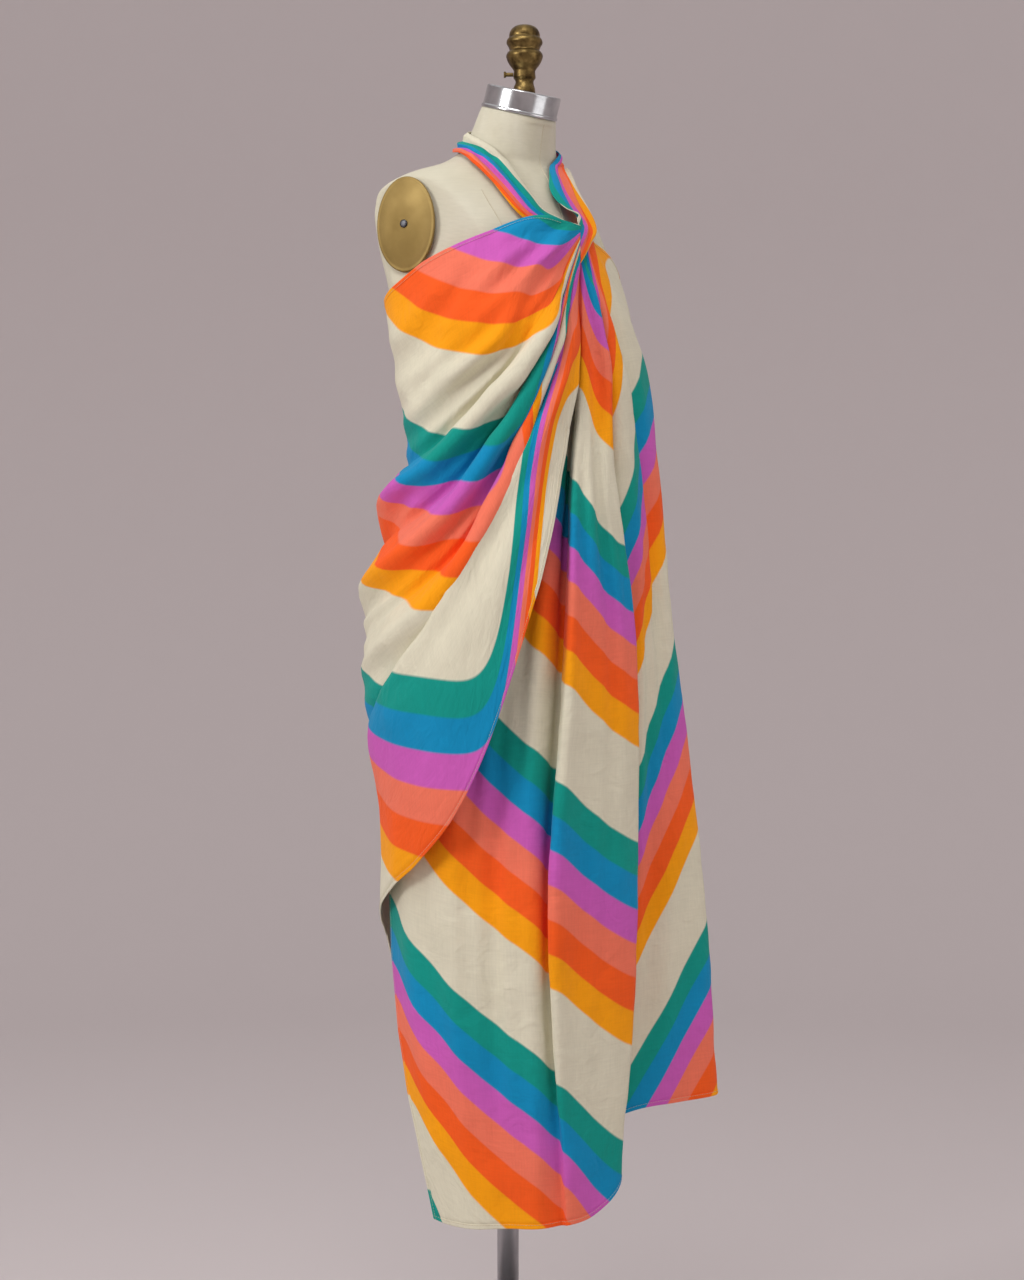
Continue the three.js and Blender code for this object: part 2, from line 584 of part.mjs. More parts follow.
// ---------------------------------------------------------------- the form and its stand
// Flattens the torso's sides where the arm plates sit.
function flattenArmhole(p) {
  const out = place(Math.sign(p.x) * PLATE.turn, 1, 0);
  const z = column(ARMHOLE, "z");
  const over = p.dot(out) - curve(z, column(ARMHOLE, "reach"), clamp(p.z, z[0], z.at(-1)));
  return p.z > z[0] && over > 0 ? p.clone().addScaledVector(out, -over) : p;
}

// Tips the neck's top forward.
function tiltNeck(p, middle) {
  const share = smoothstep(p.z, NECK_TILT_FROM, NECK_TOP);
  return new THREE.Vector3(p.x, p.y, p.z + NECK_TILT * share * (p.y - middle));
}

const HIP_HEIGHTS = [808, 812, 826, 850, 880, 920, 960, 1000];
const WAIST_HEIGHTS = [1040, 1080, 1120, 1160, 1200, 1240, 1270, 1300];
const SHOULDER_HEIGHTS = [1335, 1366, 1396, 1426, 1444, 1457, 1468, 1477, 1488, 1502, 1520, NECK_TOP];
const TORSO_SIDES = 40;
const BOTTOM_EDGE = 5; // how far the bottom's rim is drawn in

function torso() {
  const rings = [...HIP_HEIGHTS, ...WAIST_HEIGHTS, ...SHOULDER_HEIGHTS].map((z) => {
    const section = formSection(z);
    const tuck = z === FORM_BOTTOM ? BOTTOM_EDGE : 0;
    return Array.from({ length: TORSO_SIDES }, (_, k) => {
      const turn = (360 * k) / TORSO_SIDES;
      const p = place(turn, sectionReach(section, turn, z) - tuck, z);
      return tiltNeck(flattenArmhole(p), section.middle);
    });
  });
  return skin(rings);
}

// The polished cap that closes the neck: a shallow drum with a rolled lower lip, tipped with it.
function neckCap() {
  const low = NECK_TOP + SEAM;
  const profile = table(
    "rise radius",
    [0, CAP.radius + CAP.lip - 1],
    [0.8, CAP.radius + CAP.lip],
    [3, CAP.radius + CAP.lip],
    [3.8, CAP.radius],
    [CAP.height - 1.4, CAP.radius],
    [CAP.height - 0.4, CAP.radius - 0.5],
    [CAP.height, CAP.radius - 1.6],
  );
  const rings = profile.map(({ rise, radius }) => {
    const middle = lerp(formAt("middle", NECK_TOP), CAP.middle, rise / CAP.height);
    return Array.from({ length: CAP.segments }, (_, k) => {
      const angle = (2 * Math.PI * k) / CAP.segments;
      const y = radius * Math.sin(angle);
      return new THREE.Vector3(radius * Math.cos(angle), middle + y, low + rise + NECK_TILT * y);
    });
  });
  return skin(rings);
}

function finial() {
  const rings = FINIAL.map(({ radius, rise }) =>
    Array.from({ length: FINIAL_SEGMENTS }, (_, k) => {
      const angle = (2 * Math.PI * k) / FINIAL_SEGMENTS;
      const y = radius * Math.sin(angle);
      const tip = NECK_TILT * y * clamp(1 - rise / 9, 0, 1);
      return new THREE.Vector3(radius * Math.cos(angle), CAP.middle + y, FINIAL_FOOT + rise + tip);
    }),
  );
  return skin(rings);
}

function thumbScrew() {
  const profile = [
    [0, 0],
    [THUMB_SCREW.radius, 0],
    [THUMB_SCREW.radius, THUMB_SCREW.length],
    [THUMB_SCREW.head, THUMB_SCREW.length + 0.6],
    [THUMB_SCREW.head, THUMB_SCREW.length + THUMB_SCREW.headLength],
    [0, THUMB_SCREW.length + THUMB_SCREW.headLength],
  ];
  return new THREE.LatheGeometry(profile.map(([r, l]) => new THREE.Vector2(r, l)), 12);
}

// A shallow domed oval plate, flat behind.
function armPlate() {
  const rings = [
    [1, 0],
    [1, PLATE.rim - 0.8],
    [0.97, PLATE.rim],
    [0.8, PLATE.rim + 0.45 * PLATE.dome],
    [0.5, PLATE.rim + 0.82 * PLATE.dome],
    [0.2, PLATE.rim + PLATE.dome],
  ].map(([share, rise]) =>
    Array.from({ length: 32 }, (_, k) => {
      const angle = (2 * Math.PI * k) / 32;
      return new THREE.Vector3(
        (share * PLATE.width * Math.cos(angle)) / 2,
        (share * PLATE.height * Math.sin(angle)) / 2,
        rise,
      );
    }),
  );
  return skin(rings);
}

const plateScrew = () =>
  new THREE.LatheGeometry(
    [
      [0, 0],
      [PLATE_SCREW.radius, 0],
      [PLATE_SCREW.radius - 0.5, PLATE_SCREW.height],
      [0, PLATE_SCREW.height],
    ].map(([r, l]) => new THREE.Vector2(r, l)),
    16,
  );

const pole = () =>
  new THREE.CylinderGeometry(POLE.radius, POLE.radius, FORM_BOTTOM - BASE.collarTop - 2 * SEAM, POLE.segments)
    .rotateX(Math.PI / 2)
    .translate(0, 0, (FORM_BOTTOM + BASE.collarTop) / 2);

const base = () =>
  new THREE.LatheGeometry(
    [
      [0, 0],
      [BASE.radius - 2, 0],
      [BASE.radius, 3],
      [BASE.radius - 1, 7],
      [BASE.radius - 14, BASE.height - 1.5],
      [BASE.radius * 0.5, BASE.height + 2],
      [BASE.collar + 16, BASE.height + 6],
      [BASE.collar + 4, BASE.height + 14],
      [BASE.collar, BASE.height + 24],
      [BASE.collar, BASE.collarTop - 3],
      [BASE.collar - 3, BASE.collarTop],
      [0, BASE.collarTop],
    ].map(([r, h]) => new THREE.Vector2(r, h)),
    BASE.segments,
  ).rotateX(Math.PI / 2);

// Wire cage under the form: upright wires just inside two oval hoops.
const cageSpot = (angle, z) =>
  new THREE.Vector3(CAGE.halfWidth * Math.cos(angle), CAGE.depth * Math.sin(angle), z);
const cageOut = (angle) =>
  new THREE.Vector3(Math.cos(angle) / CAGE.halfWidth, Math.sin(angle) / CAGE.depth, 0).normalize();

function cageUpright(k) {
  const angle = (2 * Math.PI * (k + 0.5)) / CAGE.uprights;
  const foot = cageSpot(angle, CAGE.bottom).addScaledVector(cageOut(angle), -2 * CAGE.wire - SEAM);
  const length = FORM_BOTTOM - SEAM - CAGE.bottom;
  return new THREE.CylinderGeometry(CAGE.wire, CAGE.wire, length, 8)
    .rotateX(Math.PI / 2)
    .translate(foot.x, foot.y, foot.z + length / 2);
}

function cageHoop(z) {
  return hoop(
    Array.from({ length: CAGE.hoopSteps }, (_, k) => {
      const angle = (2 * Math.PI * k) / CAGE.hoopSteps;
      return Array.from({ length: CAGE.sides }, (_, s) => {
        const section = (2 * Math.PI * s) / CAGE.sides;
        return cageSpot(angle, z)
          .addScaledVector(cageOut(angle), CAGE.wire * Math.cos(section))
          .add(new THREE.Vector3(0, 0, CAGE.wire * Math.sin(section)));
      });
    }),
  );
}

// ---------------------------------------------------------------- assembly
const finish = (color, roughness, metalness = 0) =>
  new THREE.MeshStandardMaterial({ color, roughness, metalness, side: THREE.DoubleSide });
const COTTON = () => finish(0xe8845a, 0.85);
const COTTON_UNDER = () => finish(0x1f9a94, 0.85);
const COTTON_BACK = () => finish(0xc96cb0, 0.85);
const LINEN = () => finish(0xdcd6c6, 0.9);
const BRASS = () => finish(0x8a7346, 0.42, 1);
const ALUMINIUM = () => finish(0xc6cace, 0.16, 1);
const STEEL = () => finish(0x4a4a4c, 0.4, 1);
const ENAMEL = () => finish(0x26272a, 0.45, 0.2);

const dress = new THREE.Group();
function part(name, geometry, material) {
  const mesh = new THREE.Mesh(geometry, material);
  mesh.name = name;
  dress.add(mesh);
  return mesh;
}

part("front_wrap_right", overLayer(), COTTON());
part("front_wrap_left", underLayer(), COTTON_UNDER());
part("back_wrap", backLayer(), COTTON_BACK());
part("halter_strap_right", ribbon(RIGHT_STRAP, STRAP_PLEATS, 22, true), COTTON_UNDER());
part("halter_strap_left", ribbon(LEFT_STRAP, STRAP_PLEATS, 22, false), COTTON());
part("nape_knot", knot(), COTTON_BACK());
part("knot_tail_left", ribbon(LEFT_TAIL, TAIL_PLEATS, 9, false), COTTON());
part("knot_tail_right", ribbon(RIGHT_TAIL, TAIL_PLEATS, 9, true), COTTON_UNDER());

part("form_torso", torso(), LINEN());
part("form_neck_cap", neckCap(), ALUMINIUM());
part("form_finial", finial(), BRASS());
const thumb = part("form_thumb_screw", thumbScrew(), BRASS());
thumb.position
  .copy(place(THUMB_SCREW.turn, FINIAL_COLLAR + SEAM, FINIAL_FOOT + THUMB_SCREW.rise))
  .add(new THREE.Vector3(0, CAP.middle, 0));
thumb.quaternion.setFromUnitVectors(new THREE.Vector3(0, 1, 0), place(THUMB_SCREW.turn, 1, 0));

for (const [name, side] of [
  ["left", 1],
  ["right", -1],
]) {
  const holder = new THREE.Group();
  const out = place(side * PLATE.turn, 1, 0);
  const seat = place(side * PLATE.turn, ARMHOLE_REACH + SEAM, PLATE.z);
  const along = new THREE.Vector3(-out.y, out.x, 0);
  const slide = new THREE.Vector3(side * PLATE.side, PLATE.back, 0).dot(along);
  holder.position.copy(seat).addScaledVector(along, slide);
  holder.quaternion.setFromRotationMatrix(
    new THREE.Matrix4().makeBasis(along, new THREE.Vector3(0, 0, 1), out),
  );
  const plate = part(`form_arm_plate_${name}`, armPlate(), BRASS());
  const screw = part(`form_plate_screw_${name}`, plateScrew(), STEEL());
  screw.rotation.x = Math.PI / 2;
  screw.position.z = PLATE.rim + PLATE.dome + SEAM;
  holder.add(plate, screw);
  dress.add(holder);
}

part("stand_pole", pole(), STEEL());
part("stand_base", base(), ENAMEL());
for (let k = 0; k < CAGE.uprights; k += 1) part(`cage_upright_${k + 1}`, cageUpright(k), STEEL());
for (const [name, z] of Object.entries(CAGE_RINGS)) part(`cage_hoop_${name}`, cageHoop(z), STEEL());

export default dress;
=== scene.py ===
# %% [markdown]
# # A wrap dress on a dress form
# The real dress is one hemmed rectangle of thin printed cotton. It is wound round the body, its two
# upper corners cross at the chest, go up round the neck and are knotted at the nape. Under it stands
# a linen dress form on a pole. This lesson builds both over a frame of plain solids: every piece
# here has the form of its solid, drawn finer.

# %% Load the frame
import math

import bpy
import numpy as np
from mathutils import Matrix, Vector, noise


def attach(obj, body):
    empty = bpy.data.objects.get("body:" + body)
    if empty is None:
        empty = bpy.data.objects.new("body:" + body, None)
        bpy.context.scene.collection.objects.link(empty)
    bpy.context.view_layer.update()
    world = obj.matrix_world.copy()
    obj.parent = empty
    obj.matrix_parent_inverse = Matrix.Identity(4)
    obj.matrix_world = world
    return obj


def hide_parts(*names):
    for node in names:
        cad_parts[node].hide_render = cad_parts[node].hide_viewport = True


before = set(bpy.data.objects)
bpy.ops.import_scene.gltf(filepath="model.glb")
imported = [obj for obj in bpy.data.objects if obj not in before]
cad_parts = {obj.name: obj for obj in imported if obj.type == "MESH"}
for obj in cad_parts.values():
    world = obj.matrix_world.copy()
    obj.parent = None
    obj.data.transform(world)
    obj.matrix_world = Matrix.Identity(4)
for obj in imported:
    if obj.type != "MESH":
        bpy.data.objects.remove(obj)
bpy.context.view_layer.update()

MM = 0.001

# %% [markdown]
# ## Camera
# The camera comes first, so that every later choice can be judged through it. It stands 3 m away at
# the wearer's right front, level with the hips, which keeps all uprights straight.

# %% Camera
VIEW_TURN = -45.0  # degrees from the centre front
VIEW_DISTANCE = 3.0
VIEW_HEIGHT = 0.930
FOCAL_PIXELS = 2580.0
IMAGE = (1024, 1280)
SENSOR = 36.0
AXIS_PIXEL = 508.0  # image column of the pole's axis


def linked(name, data):
    made = bpy.data.objects.new(name, data)
    bpy.context.scene.collection.objects.link(made)
    return made


camera_data = bpy.data.cameras.new("camera")
camera = linked("camera", camera_data)
bpy.context.scene.camera = camera
turn = math.radians(VIEW_TURN)
camera.location = (VIEW_DISTANCE * math.sin(turn), -VIEW_DISTANCE * math.cos(turn), VIEW_HEIGHT)
camera.rotation_euler = (math.pi / 2, 0, turn)
camera_data.sensor_width = SENSOR
camera_data.lens = SENSOR * FOCAL_PIXELS / IMAGE[1]
camera_data.shift_x = (IMAGE[0] / 2 - AXIS_PIXEL) / IMAGE[1]
print("lens", round(camera_data.lens, 2))

# %% [markdown]
# ## Materials, first steps
# Colours are written as sRGB hex values, the way a paint or dye chart gives them, and one function
# turns them into the linear values that a shader needs. The others add nodes to a material's tree.

# %% Colour and node helpers
def colour(hex_value):
    channels = [int(hex_value[k : k + 2], 16) / 255 for k in (1, 3, 5)]
    return tuple(c / 12.92 if c <= 0.04045 else ((c + 0.055) / 1.055) ** 2.4 for c in channels) + (1.0,)


def add(tree, kind, inputs=None, **settings):
    """Adds a node. An input is a number, a colour or another node's output."""
    node = tree.nodes.new(kind)
    for name, value in settings.items():
        setattr(node, name, value)
    for name, value in (inputs or {}).items():
        if isinstance(value, bpy.types.NodeSocket):
            tree.links.new(value, node.inputs[name])
        else:
            node.inputs[name].default_value = value
    return node


def new_material(name, values):
    material = bpy.data.materials.new(name)
    material.use_nodes = True
    surface = material.node_tree.nodes["Principled BSDF"]
    for socket, value in values.items():
        surface.inputs[socket].default_value = value
    return material, material.node_tree, surface


def maths(tree, operation, a, b=0.0):
    return add(tree, "ShaderNodeMath", {0: a, 1: b}, operation=operation).outputs[0]


def ranged(tree, value, low, high):
    return add(tree, "ShaderNodeMapRange", {"Value": value, "To Min": low, "To Max": high}).outputs["Result"]


def noise_at(tree, spot, scale, detail=2.0, **more):
    values = {"Vector": spot, "Scale": scale, "Detail": detail, **more}
    return add(tree, "ShaderNodeTexNoise", values).outputs["Fac"]


def two_tones(tree, share, low, high, ends=(0.0, 1.0)):
    ramp = add(tree, "ShaderNodeValToRGB", {"Fac": share})
    for stop, end, shade in zip(ramp.color_ramp.elements, ends, (low, high)):
        stop.position, stop.color = end, colour(shade)
    return ramp.outputs["Color"]


def emboss(tree, surface, height, strength, distance, coarse=None):
    """Bumps a surface, over a coarser bump where one is given."""
    bump = add(tree, "ShaderNodeBump", {"Height": height, "Strength": strength, "Distance": distance})
    if coarse:
        tree.links.new(coarse, bump.inputs["Normal"])
    tree.links.new(bump.outputs["Normal"], surface.inputs["Normal"])


def object_spot(tree):
    return add(tree, "ShaderNodeTexCoord").outputs["Object"]


def flat_spot(tree):
    """A sheet's flat place, whole and as its two coordinates."""
    flat = add(tree, "ShaderNodeUVMap", uv_map="flat").outputs["UV"]
    parts = add(tree, "ShaderNodeSeparateXYZ", {"Vector": flat}).outputs
    return flat, parts["X"], parts["Y"]


def sine(tree, value, factor):
    return maths(tree, "SINE", maths(tree, "MULTIPLY", value, factor))


def weave(tree, s, t, pitch):
    """Warp and weft as two crossed waves."""
    return maths(tree, "ADD", *(sine(tree, way, 2 * math.pi / pitch) for way in (s, t)))


def stretched_noise(tree, flat, scale, detail=2.0):
    mapped = add(tree, "ShaderNodeMapping", {"Vector": flat, "Scale": scale}).outputs["Vector"]
    return noise_at(tree, mapped, 1.0, detail)


def fibrous(name, scale, detail, low, high, relief, roughness):
    """Thread or turned cloth edges: two close tones and a shallow bump, both from one fine noise."""
    material, tree, surface = new_material(name, {"Roughness": roughness})
    fuzz = noise_at(tree, object_spot(tree), scale, detail)
    tree.links.new(two_tones(tree, fuzz, low, high), surface.inputs["Base Color"])
    emboss(tree, surface, fuzz, 0.4, relief)
    return material


# %% [markdown]
# ## Floor and light
# A plain pale floor that curves up into a round wall, so that every side is seen against the same
# backdrop. Three large soft lamps: a broad key from the camera's left, a weak fill from its right
# and one above. The room gives the rest.

# %% Floor and light
BACKDROP = "#d8d0d0"
STAGE = {"floor": 3.4, "bend": 2.4, "height": 5.5}  # radius of the flat floor and of the bend


def floor():
    bends = np.radians(np.linspace(0, 90, 16))
    profile = [(0.02, 0.0), (2.0, 0.0)]
    flat, bend = STAGE["floor"], STAGE["bend"]
    profile += [(flat + bend * math.sin(a), bend * (1 - math.cos(a))) for a in bends]
    profile += [(flat + bend, STAGE["height"])]
    steps = 96
    rim = [2 * math.pi * k / steps for k in range(steps)]
    verts = [(reach * math.cos(a), reach * math.sin(a), z) for reach, z in profile for a in rim]
    faces = [
        (i * steps + k, i * steps + (k + 1) % steps, (i + 1) * steps + (k + 1) % steps, (i + 1) * steps + k)
        for i in range(len(profile) - 1)
        for k in range(steps)
    ]
    faces.append(tuple(range(steps))[::-1])
    mesh = bpy.data.meshes.new("floor")
    mesh.from_pydata(verts, [], faces)
    mesh.shade_smooth()
    plaster = {"Base Color": colour(BACKDROP), "Roughness": 0.9}
    mesh.materials.append(new_material("painted plaster", plaster)[0])
    linked("floor", mesh)


def lamp(name, at_turn, distance, height, power, size, aim=(0, 0, 0.95)):
    data = bpy.data.lights.new(name, "AREA")
    data.energy = power
    data.size = size
    light = linked(name, data)
    a = math.radians(at_turn)
    light.location = (distance * math.sin(a), -distance * math.cos(a), height)
    light.rotation_euler = (Vector(aim) - light.location).to_track_quat("-Z", "Y").to_euler()


floor()
lamp("key", -98, 2.8, 2.1, 34, 0.8)
lamp("fill", 10, 3.4, 1.6, 18, 2.2)
lamp("top", -60, 1.6, 3.3, 22, 1.2)
world = bpy.data.worlds.new("studio")
bpy.context.scene.world = world
world.use_nodes = True
world.node_tree.nodes["Background"].inputs["Color"].default_value = colour("#d8d4d4")
world.node_tree.nodes["Background"].inputs["Strength"].default_value = 0.95
bpy.context.scene.view_settings.view_transform = "Standard"

# %% [markdown]
# ## Curves
# Every shape here is a table of a few rows, and a smooth curve is drawn through the rows. The curve
# is a cubic whose slope at each row is a weighted mean of the slopes on both sides, so it never
# swings far past its rows. All tables are in millimetres and degrees.

# %% Tables and curves
def table(columns, *rows):
    return {name: np.array([row[k] for row in rows]) for k, name in enumerate(columns.split())}


def curve(xs, ys, x):
    xs, ys, x = (np.asarray(v, float) for v in (xs, ys, x))
    steps = np.diff(xs)
    slopes = (np.diff(ys, axis=0).T / steps).T
    tangents = np.empty_like(ys)
    tangents[0], tangents[-1] = slopes[0], slopes[-1]
    for i in range(1, len(xs) - 1):
        tangents[i] = (slopes[i - 1] * steps[i] + slopes[i] * steps[i - 1]) / (steps[i - 1] + steps[i])
    i = np.clip(np.searchsorted(xs, x, side="right") - 1, 0, len(xs) - 2)
    step = steps[i]
    t = np.clip((x - xs[i]) / step, 0, 1)
    if ys.ndim > 1:
        step, t = step[..., None], t[..., None]
    u = 1 - t
    inner = step * (tangents[i] * t * u * u - tangents[i + 1] * t * t * u)
    return ys[i] * (1 + 2 * t) * u * u + ys[i + 1] * t * t * (3 - 2 * t) + inner


def blend(a, b, slope_a, slope_b, t):
    """The cubic from a to b with these slopes at its ends, at a share t of the way."""
    u = 1 - t
    return a * (1 + 2 * t) * u * u + b * t * t * (3 - 2 * t) + slope_a * t * u * u - slope_b * t * t * u


def smoothstep(x, low, high):
    t = np.clip((x - low) / (high - low), 0, 1)
    return t * t * (3 - 2 * t)


def place(turn, reach, z):
    turn, reach, z = np.broadcast_arrays(*(np.asarray(v, float) for v in (turn, reach, z)))
    a = np.radians(turn)
    return np.stack([reach * np.sin(a), -reach * np.cos(a), z], -1)


def across(lines, steps):
    """Fills in rows between fold lines with a centripetal spline: (k, v, 3) to ((k-1)*steps+1, v, 3)."""
    before, after = 2 * lines[:1] - lines[1:2], 2 * lines[-1:] - lines[-2:-1]
    p = np.concatenate([before, lines, after])
    rows = []
    for i in range(len(lines) - 1):
        p0, p1, p2, p3 = p[i : i + 4]
        d1, d2, d3 = (
            np.sqrt(np.maximum(np.linalg.norm(b - a, axis=-1), 1e-3))[:, None]
            for a, b in ((p0, p1), (p1, p2), (p2, p3))
        )
        m1 = d2 * ((p1 - p0) / d1 - (p2 - p0) / (d1 + d2) + (p2 - p1) / d2)
        m2 = d2 * ((p2 - p1) / d2 - (p3 - p1) / (d2 + d3) + (p3 - p2) / d3)
        rows += [blend(p1, p2, m1, m2, k / steps) for k in range(steps + (i == len(lines) - 2))]
    return np.array(rows)


print("curve through 0, 1, 0 at the middle:", float(curve([0, 1, 2], [0, 1, 0], 1)))

# %% [markdown]
# ## The dress form's shape
# A dress form is papier-mache covered with linen. Its level sections are ovals, fuller at the back
# of the shoulders than at the chest, so each row has its own depths and powers for front and back.
# A power of 2 is an ellipse and a higher one is squarer.

# %% The form's sections
FORM_BOTTOM = 808
NECK_TOP = 1539
NECK_TILT = 0.3
NECK_TILT_FROM = 1515
BUST = {"turn": 35, "height": 1275, "lift": 16, "wide": 21, "tall": 62}
FORM = table(
    "z half_width front back middle front_power back_power",
    (808, 158, 99, 112, 0, 2.35, 2.35),
    (830, 164, 103, 118, 0, 2.35, 2.35),
    (870, 169, 107, 124, 0, 2.35, 2.35),
    (920, 170, 108, 125, 0, 2.35, 2.35),
    (980, 161, 104, 115, 0, 2.35, 2.35),
    (1050, 139, 95, 94, 0, 2.35, 2.35),
    (1120, 119, 86, 80, 0, 2.35, 2.35),
    (1180, 124, 93, 84, 0, 2.35, 2.35),
    (1240, 135, 103, 94, 0, 2.35, 2.35),
    (1290, 142, 110, 100, 1, 2.3, 2.35),
    (1340, 146, 115, 102, 8, 2.1, 2.4),
    (1390, 151, 118, 92, 22, 1.8, 2.6),
    (1426, 152, 114, 80, 32, 1.6, 2.6),
    (1444, 148, 108, 69, 35, 1.5, 2.5),
    (1457, 131, 98, 65, 33, 1.55, 2.4),
    (1468, 108, 84, 62, 27, 1.65, 2.3),
    (1477, 82, 69, 58, 17, 1.8, 2.1),
    (1488, 65, 58, 54, 6, 2, 2),
    (1502, 56, 52, 50, -2, 2, 2),
    (1518, 50, 48, 47, -9, 2, 2),
    (1539, 43, 42, 42, -18, 2, 2),
)
FORM_COLUMNS = np.stack([FORM[n] for n in "half_width front back middle front_power back_power".split()], -1)


def form_reach(turn, z):
    """Distance from the axis to the form at a turn and height, found by halving."""
    turn, z = np.broadcast_arrays(np.asarray(turn, float), np.asarray(z, float))
    section = curve(FORM["z"], FORM_COLUMNS, np.clip(z, FORM_BOTTOM, NECK_TOP))
    width, front, back, middle, front_power, back_power = np.moveaxis(section, -1, 0)
    sideways, backwards = np.sin(np.radians(turn)), -np.cos(np.radians(turn))
    near, far = np.zeros_like(width), np.full_like(width, 260.0)
    for _ in range(20):
        reach = (near + far) / 2
        y = reach * backwards - middle
        depth = np.where(y < 0, front, back)
        power = np.where(y < 0, front_power, back_power)
        inside = np.abs(reach * sideways / width) ** power + np.abs(y / depth) ** power < 1
        near, far = np.where(inside, reach, near), np.where(inside, far, reach)
    from_front = np.abs((turn + 180) % 360 - 180)
    side_bump = np.exp(-(((from_front - BUST["turn"]) / BUST["wide"]) ** 2))
    return near + BUST["lift"] * side_bump * np.exp(-(((z - BUST["height"]) / BUST["tall"]) ** 2))


def form_normal(turn, z):
    slope = np.clip((form_reach(turn, z + 1) - form_reach(turn, z - 1)) / 2, -4, 4)
    size = np.sqrt(1 + slope**2)
    return 1 / size, -slope / size


def keep_off(p, clear):
    """Pushes points along the form's normal until they stand clear of it."""
    turn, reach, z = np.degrees(np.arctan2(p[..., 0], -p[..., 1])), np.hypot(p[..., 0], p[..., 1]), p[..., 2]
    out, up = form_normal(turn, z)
    spare = (reach - form_reach(turn, z)) * out - clear
    soft = 4.0
    bent = np.where(spare < -soft, 0.0, (spare + soft) ** 2 / (4 * soft))
    push = np.where((spare > soft) | (z < FORM_BOTTOM - 18), 0.0, bent - spare)
    return place(turn, reach + push * out, z + push * up)


print("bust girth mm", round(float(np.sum(np.linalg.norm(np.diff(
    place(np.arange(361), form_reach(np.arange(361), 1275.0), 1275), axis=0), axis=1)))))

# %% [markdown]
# ## Meshes
# A grid of points becomes a mesh of quads. A sheet keeps its flat place in metres as its UV map, so
# that a print or a weave follows the cloth through every fold.

# %% Mesh helpers
def new_object(name, verts, faces, material, smooth=True):
    mesh = bpy.data.meshes.new(name)
    mesh.from_pydata((np.asarray(verts) * MM).tolist(), [], faces)
    if smooth:
        mesh.shade_smooth()
    mesh.materials.append(material)
    return linked(name, mesh)


def grid_faces(rows, columns, closed_rows=False, closed_columns=False):
    faces = []
    for i in range(rows if closed_rows else rows - 1):
        for j in range(columns if closed_columns else columns - 1):
            a, b = i * columns, (i + 1) % rows * columns
            k = (j + 1) % columns
            faces.append((a + j, b + j, b + k, a + k))
    return faces


def skin(p):
    """Points and faces of a column of rings, closed round and at both ends."""
    rows, columns = p.shape[:2]
    verts = np.concatenate([p.reshape(-1, 3), p[:, 0].mean(0)[None], p[:, -1].mean(0)[None]])
    faces, low = grid_faces(rows, columns, closed_rows=True), rows * columns
    for k in range(rows):
        a, b = k * columns, (k + 1) % rows * columns
        faces += [(low, b, a), (low + 1, a + columns - 1, b + columns - 1)]
    return verts, faces


def lay_flat(piece, flat):
    """Keeps each vertex's flat place as the piece's UV map."""
    layer = piece.data.uv_layers.new(name="flat")
    loops = np.zeros(len(piece.data.loops), int)
    piece.data.loops.foreach_get("vertex_index", loops)
    layer.data.foreach_set("uv", flat[loops].ravel())


def unit(v):
    return v / np.maximum(np.linalg.norm(v, axis=-1, keepdims=True), 1e-9)


def normals(p):
    return unit(np.cross(np.gradient(p, axis=0), np.gradient(p, axis=1)))


def sheet_mesh(name, p, uv, thickness, material, outward=1):
    """A closed thin shell behind a grid of points, with its flat coordinates as its UV map."""
    rows, columns = p.shape[:2]
    n = normals(p) * outward
    inner = p - n * thickness
    verts = np.concatenate([p.reshape(-1, 3), inner.reshape(-1, 3)])
    front = grid_faces(rows, columns)
    if outward < 0:
        front = [f[::-1] for f in front]
    size = rows * columns
    back = [tuple(size + v for v in f[::-1]) for f in front]
    edge = [i * columns for i in range(rows)] + [(rows - 1) * columns + j for j in range(1, columns)]
    edge += [i * columns + columns - 1 for i in range(rows - 2, -1, -1)] + list(range(columns - 2, 0, -1))
    rim = []
    for a, b in zip(edge, edge[1:] + edge[:1]):
        rim.append((b, a, size + a, size + b) if outward > 0 else (a, b, size + b, size + a))
    piece = new_object(name, verts, front + back + rim, material)
    lay_flat(piece, np.concatenate([uv.reshape(-1, 2)] * 2))
    return piece


def finished(piece, slot, *nodes):
    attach(piece, "root")
    if nodes:
        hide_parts(*nodes)
    print(piece.name, len(piece.data.polygons), "faces")
    return piece


# %% [markdown]
# ## Printed cotton voile
# The cloth is a thin plain-weave cotton, printed on one side with six bands of dye on undyed cream.
# The print is computed from the sheet's flat coordinates: bands that rise and fall in long waves,
# each 38 mm wide, with cream between the rows. Fine threads cross it, and the dye is a little uneven.

# %% The print
BAND = 0.038
DYES = ["#06988a", "#058ec0", "#cf5fbb", "#f57a5e", "#fb5f1c", "#ffa406"]
CREAM = "#dfdac2"
ROW_PERIOD = 0.335
WAVE = {"height": 0.115, "length": 0.62, "second": 0.022}
BLEED = 0.0009  # how far the dye creeps over the edge of a band


def band_ramp(tree, share):
    ramp = add(tree, "ShaderNodeValToRGB", {"Fac": share})
    stops = ramp.color_ramp.elements
    stops[0].color = colour(CREAM)
    stops[1].position = 1.0
    stops[1].color = colour(CREAM)
    shades = [CREAM, *DYES, CREAM]
    first = 0.5 - len(DYES) * BAND / ROW_PERIOD / 2
    for k, (before, after) in enumerate(zip(shades, shades[1:])):
        edge = first + k * BAND / ROW_PERIOD
        for side, shade in ((-BLEED, before), (BLEED, after)):
            stops.new(edge + side / ROW_PERIOD).color = colour(shade)
    return ramp.outputs["Color"]


